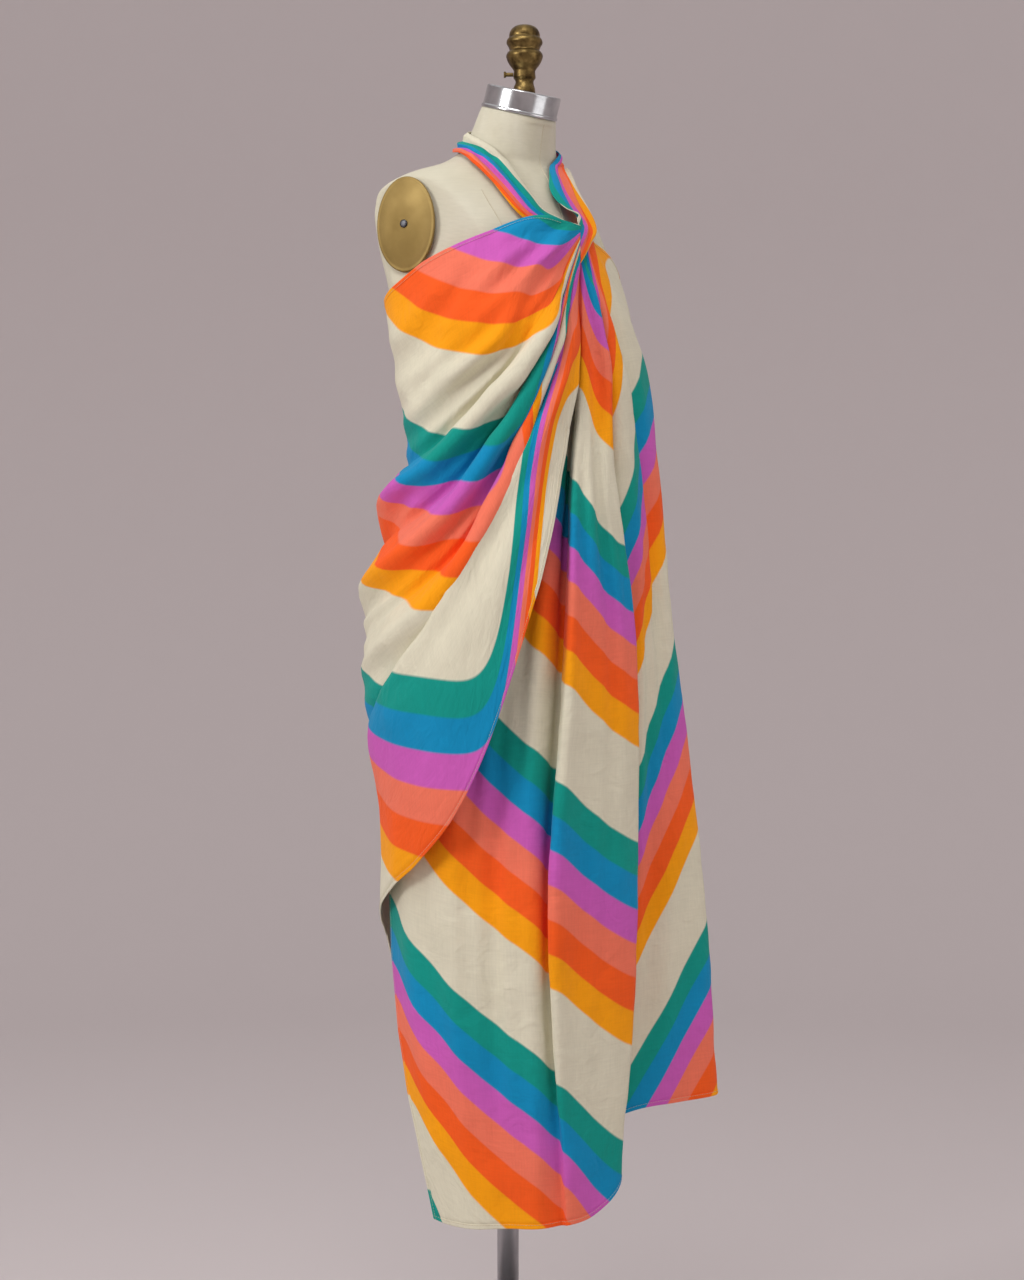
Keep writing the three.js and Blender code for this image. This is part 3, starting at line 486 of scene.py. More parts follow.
def cotton_voile(name):
    # Plain-weave cotton voile, roller printed: matte, a soft sheen at grazing angles, no gloss.
    values = {"Roughness": 0.85, "IOR": 1.4, "Specular IOR Level": 0.3}
    values.update({"Sheen Weight": 0.06, "Sheen Roughness": 0.5})
    material, tree, surface = new_material(name, values)
    flat, s, t = flat_spot(tree)
    turns = 2 * math.pi / WAVE["length"]
    long_wave = maths(tree, "MULTIPLY", sine(tree, s, turns), WAVE["height"])
    short_wave = maths(tree, "MULTIPLY", sine(tree, s, 2 * turns), WAVE["second"])
    height = maths(tree, "ADD", maths(tree, "ADD", t, long_wave), short_wave)
    share = maths(tree, "FRACT", maths(tree, "DIVIDE", height, ROW_PERIOD))
    dyed = band_ramp(tree, share)

    # Dye takes unevenly from thread to thread: long thin flecks both ways, over broad soft clouds.
    flecks = [stretched_noise(tree, flat, scale) for scale in ((40.0, 520.0, 1.0), (520.0, 40.0, 1.0))]
    threads_seen = maths(tree, "MULTIPLY", maths(tree, "ADD", *flecks), 0.5)
    from_threads = maths(tree, "MULTIPLY", threads_seen, 0.6)
    cloud = noise_at(tree, flat, 14.0, 4.0)
    uneven = maths(tree, "ADD", from_threads, maths(tree, "MULTIPLY", cloud, 0.4))
    shaded = {"Color": dyed, "Value": ranged(tree, uneven, 0.76, 1.18)}
    shade = add(tree, "ShaderNodeHueSaturation", shaded)
    tree.links.new(shade.outputs["Color"], surface.inputs["Base Color"])

    # Threads lie 0.35 mm apart; they are drawn 1.1 mm apart, the finest that shows from a step away.
    threads = maths(tree, "MULTIPLY", weave(tree, s, t, 0.0011), 0.5)
    relief = maths(tree, "ADD", threads, noise_at(tree, flat, 220.0))
    # Small soft wrinkles, some 30 mm apart, that no fold of the sheet shows.
    rumpled = noise_at(tree, flat, 34.0, 3.0, Roughness=0.45, Distortion=1.2)
    wrinkles = add(tree, "ShaderNodeBump", {"Height": rumpled, "Strength": 0.42, "Distance": 0.005})
    emboss(tree, surface, relief, 0.18, 0.0004, wrinkles.outputs["Normal"])
    return material


VOILE = cotton_voile("printed cotton voile")
print("bands", len(DYES), "of", BAND, "m")

# %% [markdown]
# ## The wound cloth
# Rows of these tables are fold lines that run with the cloth, so a roll or a pleat is one row, and
# the valley beside it another. The over layer's lines fan out from the crossing round the wearer's
# right side. The under layer's fall from the gather to the hem.

# %% The fold lines' tables
CLEAR_FORM = 4.0
CLEAR_OVER = 7.0
CROSSING_TURN = -3.0
OVER_REACH = 122.0
UNDER_REACH = 111.0
LEFT_SEAM_TURN = 125.0
RIGHT_SEAM_TURN = -140.0

HULL = table(
    "z back back_right right front_right front front_left left back_left",
    (300, 118, 118, 128, 150, 160, 170, 190, 150),
    (360, 120, 122, 132, 156, 164, 200, 200, 160),
    (410, 124, 128, 140, 162, 166, 225, 205, 165),
    (480, 128, 134, 150, 168, 168, 230, 205, 165),
    (580, 132, 140, 160, 174, 168, 225, 203, 165),
    (670, 134, 142, 168, 178, 166, 215, 200, 163),
    (780, 137, 146, 176, 180, 163, 203, 195, 162),
    (880, 139, 152, 182, 182, 160, 192, 190, 160),
    (980, 133, 152, 176, 175, 156, 182, 180, 152),
    (1050, 122, 140, 160, 163, 152, 172, 166, 140),
    (1113, 110, 122, 146, 152, 149, 166, 154, 128),
    (1170, 104, 112, 140, 150, 148, 163, 148, 120),
    (1230, 106, 118, 142, 155, 148, 158, 148, 122),
    (1287, 110, 126, 148, 158, 142, 155, 150, 128),
    (1334, 113, 133, 154, 142, 132, 140, 155, 134),
    (1370, 114, 136, 158, 128, 124, 126, 158, 136),
    (1405, 112, 134, 158, 118, 118, 118, 158, 134),
)
HULL_AROUND = np.stack([HULL[n] for n in list(HULL)[1:]], -1)

OVER_STATIONS = (0, 0.2, 0.45, 0.7, 1)
OVER = table(
    "name z0 turn1 z1 turn2 z2 turn3 z3 z4 lift1 lift2 lift3 lift4",
    ("top_edge", 1398, -30, 1404, -62, 1377, -96, 1336, 1303, 1, 0, 0, 0),
    ("flap", 1394, -31.5, 1378, -60, 1328, -94, 1288, 1262, 5, 3, 0, 0),
    ("bodice_mid", 1390, -31.5, 1346, -56, 1285, -91, 1237, 1215, -1, 1, 0, -1),
    ("bodice_low", 1386, -31.5, 1316, -52, 1252, -88, 1196, 1172, 2, 4, 2, -2),
    ("crease_a", 1383, -31.5, 1287, -47, 1226, -84, 1148, 1122, -4, -8, -8, -8),
    ("roll_1", 1380, -32, 1264, -49, 1205, -84, 1120, 1078, 4, 10, 12, 20),
    ("crease_b", 1377, -31, 1247, -45, 1178, -80, 1085, 1025, -4, -9, -9, -3),
    ("roll_2", 1374, -31, 1238, -49, 1152, -80, 1045, 968, 3, 9, 12, 16),
    ("crease_c", 1371, -29.5, 1230, -44, 1122, -75, 1005, 905, -4, -10, -10, -4),
    ("roll_3", 1368, -28.5, 1222, -47, 1096, -76, 965, 865, 2, 6, 9, 6),
    ("crease_d", 1364, -26.5, 1214, -39, 1066, -71, 918, 805, -6, -16, -16, -14),
    ("panel_fold", 1361, -27, 1207, -53, 1060, -82, 905, 780, 3, 6, 6, 4),
    ("panel_mid", 1357, -21.5, 1202, -42, 1025, -71, 828, 690, 5, 8, 6, -6),
    ("free_edge", 1352, -16, 1195, -35, 980, -66, 726, 585, 4, 8, 6, 4),
)
UNDER_LEVELS = (1270, 1120, 940, 650)
UNDER = table(
    "name turn0 z0 turn1 reach1 turn2 reach2 turn3 reach3 turn4 reach4 turn5 reach5 z5",
    ("free_edge", -3, 1350, -17, 127, -42, 131, -76, 168, -114, 145, -79, 148, 285),
    ("side_fold", -2.4, 1352, -15, 126, -37, 132, -62, 160, -86, 160, -70, 153, 282),
    ("under_1", -1.9, 1354, -14, 126, -32, 136, -52, 156, -67, 158, -59, 156, 280),
    ("under_2", -0.7, 1358, -11, 122, -26, 128, -42, 148, -51, 150, -45, 150, 280),
    ("under_3", 0.4, 1362, -8, 124, -21, 135, -33, 153, -38, 162, -33, 160, 281),
    ("valley", 1.5, 1366, -4, 119, -12, 126, -18, 136, -27, 152, -22, 154, 282),
    ("pleat_left", 2.6, 1370, -5, 129, -16, 155, -21, 170, -28, 168, -21, 162, 283),
    ("pleat_mid", 3.8, 1374, 0, 133, -8, 160, -6, 168, -9, 167, -9, 161, 290),
    ("pleat_right", 4.9, 1378, 5, 139, 1, 163, 9, 175, 11, 175, 5, 167, 325),
    ("deep", 6, 1382, 7, 127, 6, 136, 11, 134, 11, 124, 9, 121, 372),
    ("far_in", 7.2, 1386, 13, 141, 17, 159, 22, 158, 24, 155, 25, 150, 392),
    ("far_mid", 8, 1389, 22, 142, 31, 160, 34, 172, 36, 190, 37, 198, 398),
    ("far_ridge", 25, 1384, 44, 151, 46, 172, 46, 194, 45, 227, 45, 243, 402),
    ("left_turn", 50, 1368, 62, 150, 62, 157, 61, 184, 59, 214, 59, 230, 402),
    ("left_dip", 68, 1350, 78, 149, 77, 148, 76, 174, 75, 190, 75, 197, 396),
    ("left_ridge", 88, 1336, 94, 153, 93, 156, 93, 184, 92, 207, 92, 215, 390),
    ("left_dip2", 106, 1322, 109, 146, 109, 145, 109, 170, 108, 184, 108, 188, 382),
    ("back_seam", 125, 1310, 125, 134, 125, 130, 125, 163, 125, 180, 125, 186, 375),
)
print("fold lines", len(OVER["name"]), "over and", len(UNDER["name"]), "under")


# %% Three stretches of one sheet
DOWN = 9  # steps between two fold lines of the over layer, and so down the whole sheet
AROUND = 8  # steps between two fold lines of the under layer
BACK_COLUMNS = 73
OVER_COLUMNS = 140
BACK_HEM = {"left": 375, "lowest": 355, "lowest_share": 0.575}
BACK_FOLDS = {"depth": 7, "width": 32}


def hull_reach(turn, z):
    turn, z = np.broadcast_arrays(np.asarray(turn, float), np.asarray(z, float))
    around = curve(HULL["z"], HULL_AROUND, np.clip(z, HULL["z"][0], HULL["z"][-1]))
    x = (turn + 180) % 360 / 45
    i = np.floor(x).astype(int) % 8
    t = x - np.floor(x)
    a, b, c, d = (np.take_along_axis(around, ((i + k) % 8)[..., None], -1)[..., 0] for k in (-1, 0, 1, 2))
    return blend(b, c, (c - a) / 2, (d - b) / 2, t)


def over_stretch():
    v = np.linspace(0, 1, OVER_COLUMNS) ** 1.15
    same = np.ones(len(OVER["name"]))
    inner_turns = [OVER[f"turn{k}"] for k in range(1, 4)]
    turns = np.stack([CROSSING_TURN * same, *inner_turns, RIGHT_SEAM_TURN * same])
    heights = np.stack([OVER[f"z{k}"] for k in range(5)])
    lifts = np.stack([0 * same, *(OVER[f"lift{k}"] for k in range(1, 5))])
    turn, z, lift = (curve(OVER_STATIONS, rows, v).T for rows in (turns, heights, lifts))
    opened = smoothstep(v, 0, OVER_STATIONS[1])
    reach = OVER_REACH * (1 - opened) + hull_reach(turn, z) * opened + lift
    return keep_off(across(place(turn, reach, z), DOWN), CLEAR_OVER)


def under_stretch(count):
    v = np.linspace(0, 1, count)
    lines = []
    for k in range(len(UNDER["name"])):
        top, bottom = UNDER["z0"][k], UNDER["z5"][k]
        gathered = UNDER["turn0"][k] < 10
        start = UNDER_REACH if gathered else form_reach(UNDER["turn0"][k], top) + CLEAR_FORM + 2
        drops = top - np.array([top, *UNDER_LEVELS, bottom])
        turns = [UNDER[f"turn{i}"][k] for i in range(6)]
        reaches = [start, *(UNDER[f"reach{i}"][k] for i in range(1, 6))]
        drop = (top - bottom) * v
        lines.append(place(curve(drops, turns, drop), curve(drops, reaches, drop), top - drop))
    return keep_off(across(np.array(lines), AROUND), CLEAR_FORM)


def back_stretch(left, right):
    """The back hangs between the two seams and takes both their lines."""
    count = len(left)
    share = np.linspace(0, 1, BACK_COLUMNS)[:, None]
    turn = LEFT_SEAM_TURN + (360 + RIGHT_SEAM_TURN - LEFT_SEAM_TURN) * share
    top = left[0, 2] + (right[0, 2] - left[0, 2]) * share + 8 * np.sin(np.pi * share)
    low = BACK_HEM["lowest_share"]
    fall = BACK_HEM["left"] + (BACK_HEM["lowest"] - BACK_HEM["left"]) * share / low
    rise = BACK_HEM["lowest"] + (right[-1, 2] - BACK_HEM["lowest"]) * (share - low) / (1 - low)
    hem = np.where(share < low, fall, rise)
    even = np.linspace(0, 1, count)
    down = even + ((right[0, 2] - right[:, 2]) / (right[0, 2] - right[-1, 2]) - even) * share
    z = top + (hem - top) * down
    hang = np.clip((1270 - z) / 500, 0, 1)
    wave = np.sin(2 * np.pi * (turn - LEFT_SEAM_TURN) / BACK_FOLDS["width"])
    soft = BACK_FOLDS["depth"] * wave * np.sqrt(np.maximum(np.sin(np.pi * share), 0)) * hang
    near_left, near_right = 1 - smoothstep(share, 0, 0.28), smoothstep(share, 0.66, 1)

    def beyond_hull(line, seam_turn):
        return np.interp(-z, -line[:, 2], np.hypot(line[:, 0], line[:, 1])) - hull_reach(seam_turn, z)

    reach = hull_reach(turn, z) + soft + near_left * beyond_hull(left, LEFT_SEAM_TURN)
    reach = reach + near_right * beyond_hull(right, RIGHT_SEAM_TURN)
    p = keep_off(place(turn + 0 * z, reach, z), CLEAR_FORM)
    to_left = smoothstep(1 - share, 0.8, 1)[..., None]
    to_right = smoothstep(share, 0.8, 1)[..., None]
    return p + to_left * (left - p[0]) + to_right * (right - p[-1])


over = over_stretch()
under = under_stretch(len(over))
back = back_stretch(under[-1], over[:, -1])
wound = np.concatenate([under, back[1:-1], over[:, ::-1].transpose(1, 0, 2)])
OVER_START = len(under) + len(back) - 3
print("the sheet is", wound.shape[:2], "points")

# %% [markdown]
# ## Flat coordinates
# Real cloth doesn't stretch, so its flat coordinates are lengths along it. Down the under layer and
# the back they are measured down each line, and round the over layer along each line.

# %% Where each point lies on the flat sheet
def lengths(p, axis):
    steps = np.linalg.norm(np.diff(p, axis=axis), axis=-1)
    pad = [(0, 0), (0, 0)]
    pad[axis] = (1, 0)
    return np.pad(np.cumsum(steps, axis=axis), pad) * MM


down = lengths(wound, 1)
round_steps = np.linalg.norm(np.diff(wound, axis=0), axis=-1)
typical = np.percentile(round_steps, 70, axis=1) * MM
width = np.concatenate([[0], np.cumsum(typical)])
flat_s = np.repeat(width[:, None], wound.shape[1], 1)
flat_t = down.copy()
seam = OVER_START
flat_s[seam:] = flat_s[seam] + lengths(wound[seam:], 0)
flat_t[seam:] = down[seam]
PRINT_SHIFT = (0.12, 0.16)
wound_uv = np.stack([flat_s + PRINT_SHIFT[0], flat_t + PRINT_SHIFT[1]], -1)
print("round the body", round(float(flat_s.max()), 2), "m, longest drop", round(float(flat_t.max()), 2), "m")

# %% [markdown]
# ## Creases
# Between the large folds lie the small ones: drag lines that fan from the gather, slack that hangs
# in shallow troughs and a few breaks across a roll. Each row of the table is one crease, from a
# place on its stretch to another, with its own width and depth; a negative depth is a ridge.

# %% The crease table
CREASES = table(
    "stretch across0 along0 across1 along1 width depth",
    ("over", 0.03, 0.06, 0.06, 0.40, 8, 3.0),
    ("over", 0.075, 0.05, 0.12, 0.52, 8, 3.4),
    ("over", 0.115, 0.06, 0.19, 0.44, 8, -2.6),
    ("over", 0.17, 0.01, 0.23, 0.52, 8, 2.8),
    ("over", 0.24, 0.02, 0.28, 0.31, 5, 2.0),
    ("over", 0.27, 0.20, 0.25, 0.66, 10, 2.4),
    ("over", 0.345, 0.06, 0.345, 0.60, 6, 2.6),
    ("over", 0.41, 0.03, 0.42, 0.62, 6, 2.4),
    ("over", 0.500, 0.06, 0.500, 0.70, 6, 2.8),
    ("over", 0.55, 0.30, 0.58, 0.88, 8, 2.6),
    ("over", 0.655, 0.14, 0.652, 0.74, 7, 1.6),
    ("over", 0.72, 0.10, 0.71, 0.72, 8, 2.2),
    ("over", 0.80, 0.02, 0.86, 0.48, 6, 2.2),
    ("over", 0.90, 0.05, 0.95, 0.62, 8, 1.8),
    ("over", 0.88, 0.40, 0.84, 0.93, 12, 2.6),
    ("over", 0.06, 0.45, 0.13, 0.83, 12, 2.6),
    ("over", 0.15, 0.58, 0.09, 0.97, 14, 2.2),
    ("over", 0.40, 0.74, 0.46, 0.98, 9, 2.8),
    ("over", 0.62, 0.78, 0.57, 0.99, 9, -2.2),
    ("over", 0.306, 0.16, 0.308, 0.99, 6, 3.4),
    ("over", 0.385, 0.16, 0.386, 0.98, 8, -3.0),
    ("over", 0.461, 0.14, 0.462, 0.99, 6, 3.8),
    ("over", 0.538, 0.16, 0.540, 0.98, 8, -3.2),
    ("over", 0.615, 0.14, 0.616, 0.99, 6, 3.8),
    ("over", 0.692, 0.24, 0.694, 0.97, 9, -2.4),
    ("over", 0.769, 0.22, 0.770, 0.96, 8, 2.4),
    ("over", 0.850, 0.30, 0.840, 0.92, 8, -1.6),
    ("over", 0.150, 0.10, 0.200, 0.74, 8, 3.2),
    ("over", 0.235, 0.12, 0.262, 0.94, 8, 3.2),
    ("under", 0.294, 0.10, 0.292, 0.86, 7, 5.0),
    ("under", 0.350, 0.12, 0.352, 0.90, 6, -2.8),
    ("under", 0.412, 0.10, 0.414, 0.86, 6, 4.2),
    ("under", 0.470, 0.12, 0.472, 0.92, 6, -3.0),
    ("under", 0.530, 0.08, 0.529, 0.94, 7, 5.4),
    ("under", 0.590, 0.10, 0.592, 0.84, 7, -2.4),
    ("under", 0.646, 0.08, 0.645, 0.72, 7, 3.4),
    ("under", 0.200, 0.14, 0.214, 0.96, 9, 3.0),
    ("under", 0.118, 0.20, 0.130, 0.98, 9, 2.6),
    ("under", 0.04, 0.02, 0.06, 0.36, 6, 1.8),
    ("under", 0.10, 0.05, 0.13, 0.62, 8, 2.0),
    ("under", 0.17, 0.30, 0.16, 0.93, 14, 3.2),
    ("under", 0.05, 0.48, 0.09, 0.97, 16, 2.8),
    ("under", 0.28, 0.02, 0.30, 0.28, 5, 1.6),
    ("under", 0.36, 0.02, 0.37, 0.46, 7, 2.2),
    ("under", 0.39, 0.38, 0.38, 0.90, 12, 2.0),
    ("under", 0.44, 0.02, 0.45, 0.24, 5, -1.6),
    ("under", 0.56, 0.01, 0.60, 0.34, 7, 2.2),
    ("under", 0.63, 0.01, 0.66, 0.50, 10, 2.8),
    ("under", 0.62, 0.42, 0.60, 0.96, 14, 3.0),
    ("under", 0.71, 0.03, 0.73, 0.40, 12, 2.6),
    ("under", 0.74, 0.30, 0.77, 0.86, 16, -3.0),
    ("under", 0.84, 0.06, 0.82, 0.48, 12, 2.2),
    ("under", 0.86, 0.44, 0.87, 0.95, 16, 2.8),
    ("under", 0.94, 0.10, 0.92, 0.55, 12, 2.0),
    ("back", 0.10, 0.30, 0.13, 0.82, 14, 2.4),
    ("back", 0.22, 0.05, 0.25, 0.42, 12, 2.2),
    ("back", 0.36, 0.24, 0.30, 0.29, 7, 2.6),
    ("back", 0.52, 0.21, 0.63, 0.26, 7, 2.2),
    ("back", 0.40, 0.19, 0.55, 0.175, 6, -1.8),
    ("back", 0.45, 0.34, 0.48, 0.95, 16, 3.0),
    ("back", 0.70, 0.10, 0.67, 0.60, 14, 2.6),
    ("back", 0.86, 0.25, 0.90, 0.86, 14, 2.8),
)
STRETCHES = {"under": under, "back": back, "over": over}

# Where the sheet is gathered its small pleats fan out from one point. Each is a ridge (or, with a
# negative depth, a groove) at a share of the way across, as wide as its spread, that dies out.
PLEATS = table(
    "stretch share spread depth reach",
    ("over", 0.06, 0.026, -2.2, 0.40),
    ("over", 0.14, 0.030, 2.8, 0.30),
    ("over", 0.215, 0.024, -2.8, 0.46),
    ("over", 0.29, 0.026, 2.6, 0.36),
    ("over", 0.44, 0.024, -2.6, 0.55),
    ("over", 0.60, 0.022, -2.2, 0.42),
    ("over", 0.68, 0.026, 2.2, 0.50),
    ("over", 0.89, 0.026, 1.8, 0.55),
    ("under", 0.05, 0.022, -1.8, 0.50),
    ("under", 0.12, 0.024, 2.2, 0.36),
    ("under", 0.18, 0.022, -2.4, 0.46),
    ("under", 0.245, 0.024, 2.4, 0.58),
    ("under", 0.33, 0.022, -2.2, 0.40),
    ("under", 0.385, 0.022, 2.4, 0.52),
    ("under", 0.44, 0.020, -2.0, 0.34),
    ("under", 0.51, 0.024, -3.2, 0.60),
    ("under", 0.57, 0.022, 2.6, 0.40),
    ("under", 0.635, 0.026, -3.4, 0.50),
    ("under", 0.70, 0.030, 3.4, 0.44),
)


def crease_path(k):
    grid = STRETCHES[CREASES["stretch"][k]]
    share = np.linspace(0, 1, 220)
    bow = 0.012 * np.sin(np.pi * share)
    a = CREASES["across0"][k] + (CREASES["across1"][k] - CREASES["across0"][k]) * share + bow
    b = CREASES["along0"][k] + (CREASES["along1"][k] - CREASES["along0"][k]) * share
    x, y = (np.clip(v, 0, 1) * (size - 1.001) for v, size in ((a, grid.shape[0]), (b, grid.shape[1])))
    i, j = x.astype(int), y.astype(int)
    u, v = (x - i)[:, None], (y - j)[:, None]
    near, far = (grid[i + k, j] * (1 - v) + grid[i + k, j + 1] * v for k in (0, 1))
    return near * (1 - u) + far * u, np.sin(np.pi * np.clip(share * 0.94 + 0.03, 0, 1)) ** 0.6


def creased(p):
    """How far each point moves in or out for all creases, in mm."""
    flat = p.reshape(-1, 3)
    moved = np.zeros(len(flat))
    for k in range(len(CREASES["stretch"])):
        path, fade = crease_path(k)
        width = CREASES["width"][k]
        low, high = path.min(0) - 4 * width, path.max(0) + 4 * width
        near = np.nonzero(np.all((flat > low) & (flat < high), axis=1))[0]
        gaps = np.linalg.norm(flat[near, None] - path[None], axis=-1)
        nearest = gaps.argmin(1)
        gap = gaps[np.arange(len(near)), nearest] / width
        trough = np.exp(-(gap**2)) - 0.45 * np.exp(-((gap - 1.9) ** 2))
        moved[near] -= CREASES["depth"][k] * fade[nearest] * trough
    return moved.reshape(p.shape[:2])


def gathered(p, first, count, stretch):
    """The pleats of one gather. first is the row where the stretch starts in the whole sheet."""
    moved = np.zeros(p.shape[:2])
    if stretch == "under":
        share, along = np.linspace(0, 1, count)[:, None], np.linspace(0, 1, p.shape[1])[None, :]
    else:
        share, along = np.linspace(0, 1, p.shape[1])[None, :], np.linspace(1, 0, count)[:, None]
    for name, at, spread, depth, reach in zip(*PLEATS.values()):
        if name == stretch:
            fade = smoothstep(along, 0.02, 0.16) * (1 - smoothstep(along, 0.35 * reach, reach))
            moved[first : first + count] += depth * fade * np.exp(-(((share - at) / spread) ** 2))
    return moved


def slack(p, size, depth):
    """Soft unevenness that no table names."""
    spots = [Vector(q) / size for q in p.reshape(-1, 3)]
    values = [noise.noise(spot) + 0.5 * noise.noise(spot * 2.3) for spot in spots]
    return depth * np.array(values).reshape(p.shape[:2])


CREASE_DEPTH = 1.9  # mm for each 1 in the tables
EASE = 3.4  # the over layer stands this far off its solid, so that its creases have room to sink
DRAWN_CLEAR = (6.0, 2.6)  # least distance of the over and the under layer from the form


def softened(grid, rounds):
    """The mean of each point and its neighbours, many times over."""
    for _ in range(rounds):
        for axis in (0, 1):
            pad = [(0, 0)] * grid.ndim
            pad[axis] = (1, 1)
            wide = np.pad(grid, pad, mode="edge")
            before, after = np.delete(wide, [-1, -2], axis), np.delete(wide, [0, 1], axis)
            grid = grid / 2 + (before + after) / 4
    return grid


out = softened(-normals(wound), 6)
if (out[..., :2] * wound[..., :2]).sum() < 0:
    out = -out
out = out / np.linalg.norm(out, axis=-1, keepdims=True)
spacing = np.minimum(*(np.linalg.norm(np.gradient(wound, axis=axis), axis=-1) for axis in (0, 1)))
offset = CREASE_DEPTH * creased(wound) + slack(wound, 46.0, 1.6) + slack(wound, 17.0, 0.6)
offset += gathered(wound, 0, len(under), "under")
offset += gathered(wound, OVER_START, len(wound) - OVER_START, "over")
edge_calm = np.ones(wound.shape[:2])
edge_calm[-1] = edge_calm[0] = 0.5
gather = smoothstep(np.arange(len(wound))[::-1] / OVER_COLUMNS, 0.0, 0.2)[:, None]
# Where the sheet is gathered tight there is no room to fold.
roomy = smoothstep(softened(spacing, 8), 0.1, 0.9)
from_seam = smoothstep(np.arange(len(wound)) - OVER_START, 4, 34)[:, None]
across_over = np.linspace(0, 1, wound.shape[1])[None, :]
ease = EASE * from_seam * smoothstep(across_over, 0.0, 0.08) * (1 - smoothstep(across_over, 0.9, 1.0))
offset = softened((offset + ease) * edge_calm * gather * roomy, 1)
draped = wound + out * offset[..., None]
layer_clear = np.where(np.arange(len(wound)) >= OVER_START, *DRAWN_CLEAR)[:, None]
draped = keep_off(draped, layer_clear)
print("creases", len(CREASES["stretch"]), "deepest", round(float(-offset.min()), 1), "mm")

# %% The sheet
VOILE_THICKNESS = 0.9  # drawn thicker than the real 0.2 mm, so that its edge catches light

side = 1 if (normals(draped) * out).sum() > 0 else -1
cloth = sheet_mesh("wound_cloth", draped, wound_uv, VOILE_THICKNESS, VOILE, outward=side)
finished(cloth, "cotton", "front_wrap_left", "back_wrap", "front_wrap_right")

# %% [markdown]
# ## Straps and tails
# Each upper corner of the sheet is rolled and pleated into a strap. A strap is a ribbon between two
# edges that lie over the form, with pleats across it, one rolled over the next.

# %% Ribbons
STRAP_PATH = "turn_a z_a turn_b z_b rise_a rise_b pleat"
RIGHT_STRAP = table(
    STRAP_PATH,
    (7.8, 1389.8, -3.3, 1350.5, 13, 6, 0.2),
    (-6, 1404, -20, 1378, 8, 6, 0.7),
    (-18, 1415, -38, 1406, 4, 4.5, 1),
    (-25, 1431, -47, 1425, 4, 4, 1),
    (-34, 1451, -58, 1447, 4, 4, 1),
    (-47, 1476, -74, 1468, 4, 4, 1),
    (-67, 1495, -93, 1483, 4, 4, 0.9),
    (-100, 1511, -117, 1489, 4, 4, 0.8),
    (-135, 1519, -142, 1495, 4, 4, 0.8),
    (-166.9, 1523, -166.9, 1498, 4, 4, 0.8),
)
LEFT_STRAP = table(
    STRAP_PATH,
    (-2.6, 1398, -2.6, 1352, 25, 16, 0.2),
    (1, 1406, 9, 1375, 22, 15.5, 0.5),
    (-4, 1415, 20, 1390, 14, 13, 0.9),
    (-8, 1430, 27, 1412, 8, 10, 1),
    (-6, 1448, 32, 1434, 5, 8, 1),
    (9, 1470, 39, 1455, 4, 6, 1),
    (34, 1489, 57, 1471, 4, 5, 0.9),
    (65, 1502, 85, 1482, 4, 4, 0.9),
    (100, 1512, 116, 1489, 4, 4, 0.8),
    (135, 1519, 141, 1495, 4, 4, 0.8),
    (166.9, 1523, 166.9, 1498, 4, 4, 0.8),
)
LEFT_TAIL = table(
    STRAP_PATH,
    (178.2, 1484, 170, 1484, 8, 8, 0.3),
    (177.5, 1474, 169, 1475, 5, 5, 0.8),
    (177, 1462, 167.5, 1463, 4, 4, 1),
    (176.5, 1436, 165, 1438, 4, 4, 1),
    (176, 1400, 162, 1403, 4, 4, 1),
    (176, 1352, 160, 1357, 4, 4, 1),
)
RIGHT_TAIL = table(
    STRAP_PATH,
    (181.8, 1484, 190, 1484, 8, 8, 0.3),
    (182.5, 1474, 191, 1475, 5, 5, 0.8),
    (183, 1462, 193, 1463, 4, 4, 1),
    (184, 1436, 196, 1437, 4, 4, 1),
    (185, 1395, 199, 1397, 4, 4, 1),
    (185, 1325, 201, 1329, 4, 4, 1),
)
STRAP_PLEATS = ((0, 0), (0.22, 3), (0.42, 0.5), (0.6, 4.5), (0.74, 1), (0.9, 5.5), (1, 1.5))
TAIL_PLEATS = ((0, 0), (0.25, 3.5), (0.5, 0.5), (0.78, 4), (1, 0.5))


def ribbon(path, pleats, count, uneven):
    stations = np.linspace(0, 1, len(path["pleat"]))
    v = np.linspace(0, 1, count)
    along = {name: curve(stations, values, v) for name, values in path.items()}
    lines = []
    for k, (share, height) in enumerate(pleats):
        wander = uneven * np.sin(v * 17 + 2.1 * k) * np.sin(np.pi * v)
        turn = along["turn_a"] * (1 - share) + along["turn_b"] * share
        z = along["z_a"] * (1 - share) + along["z_b"] * share
        rise = along["rise_a"] * (1 - share) + along["rise_b"] * share
        rise = rise + height * along["pleat"] * (1 + wander)
        out, up = form_normal(turn, z)
        lines.append(place(turn, form_reach(turn, z) + rise * out, z + rise * up))
    return across(np.array(lines), 6)


PLEATED_WIDTH = 0.24  # of cloth across a strap, in metres


def ribbon_piece(name, path, pleats, count, outward, shift, node, uneven=0.22):
    p = ribbon(path, pleats, count, uneven)
    # The sheet's corner is rolled into the strap, so its bands of print run along it, and much more
    # width of cloth is pleated into it than it shows.
    share = np.linspace(0, 1, p.shape[0])[:, None]
    uv = np.stack([lengths(p, 1) * 0.5 + shift[0], share * PLEATED_WIDTH + shift[1] + 0 * p[..., 0]], -1)
    ribbon_grids.append(p)
    return finished(sheet_mesh(name, p, uv, VOILE_THICKNESS, VOILE, outward), "cotton", node)


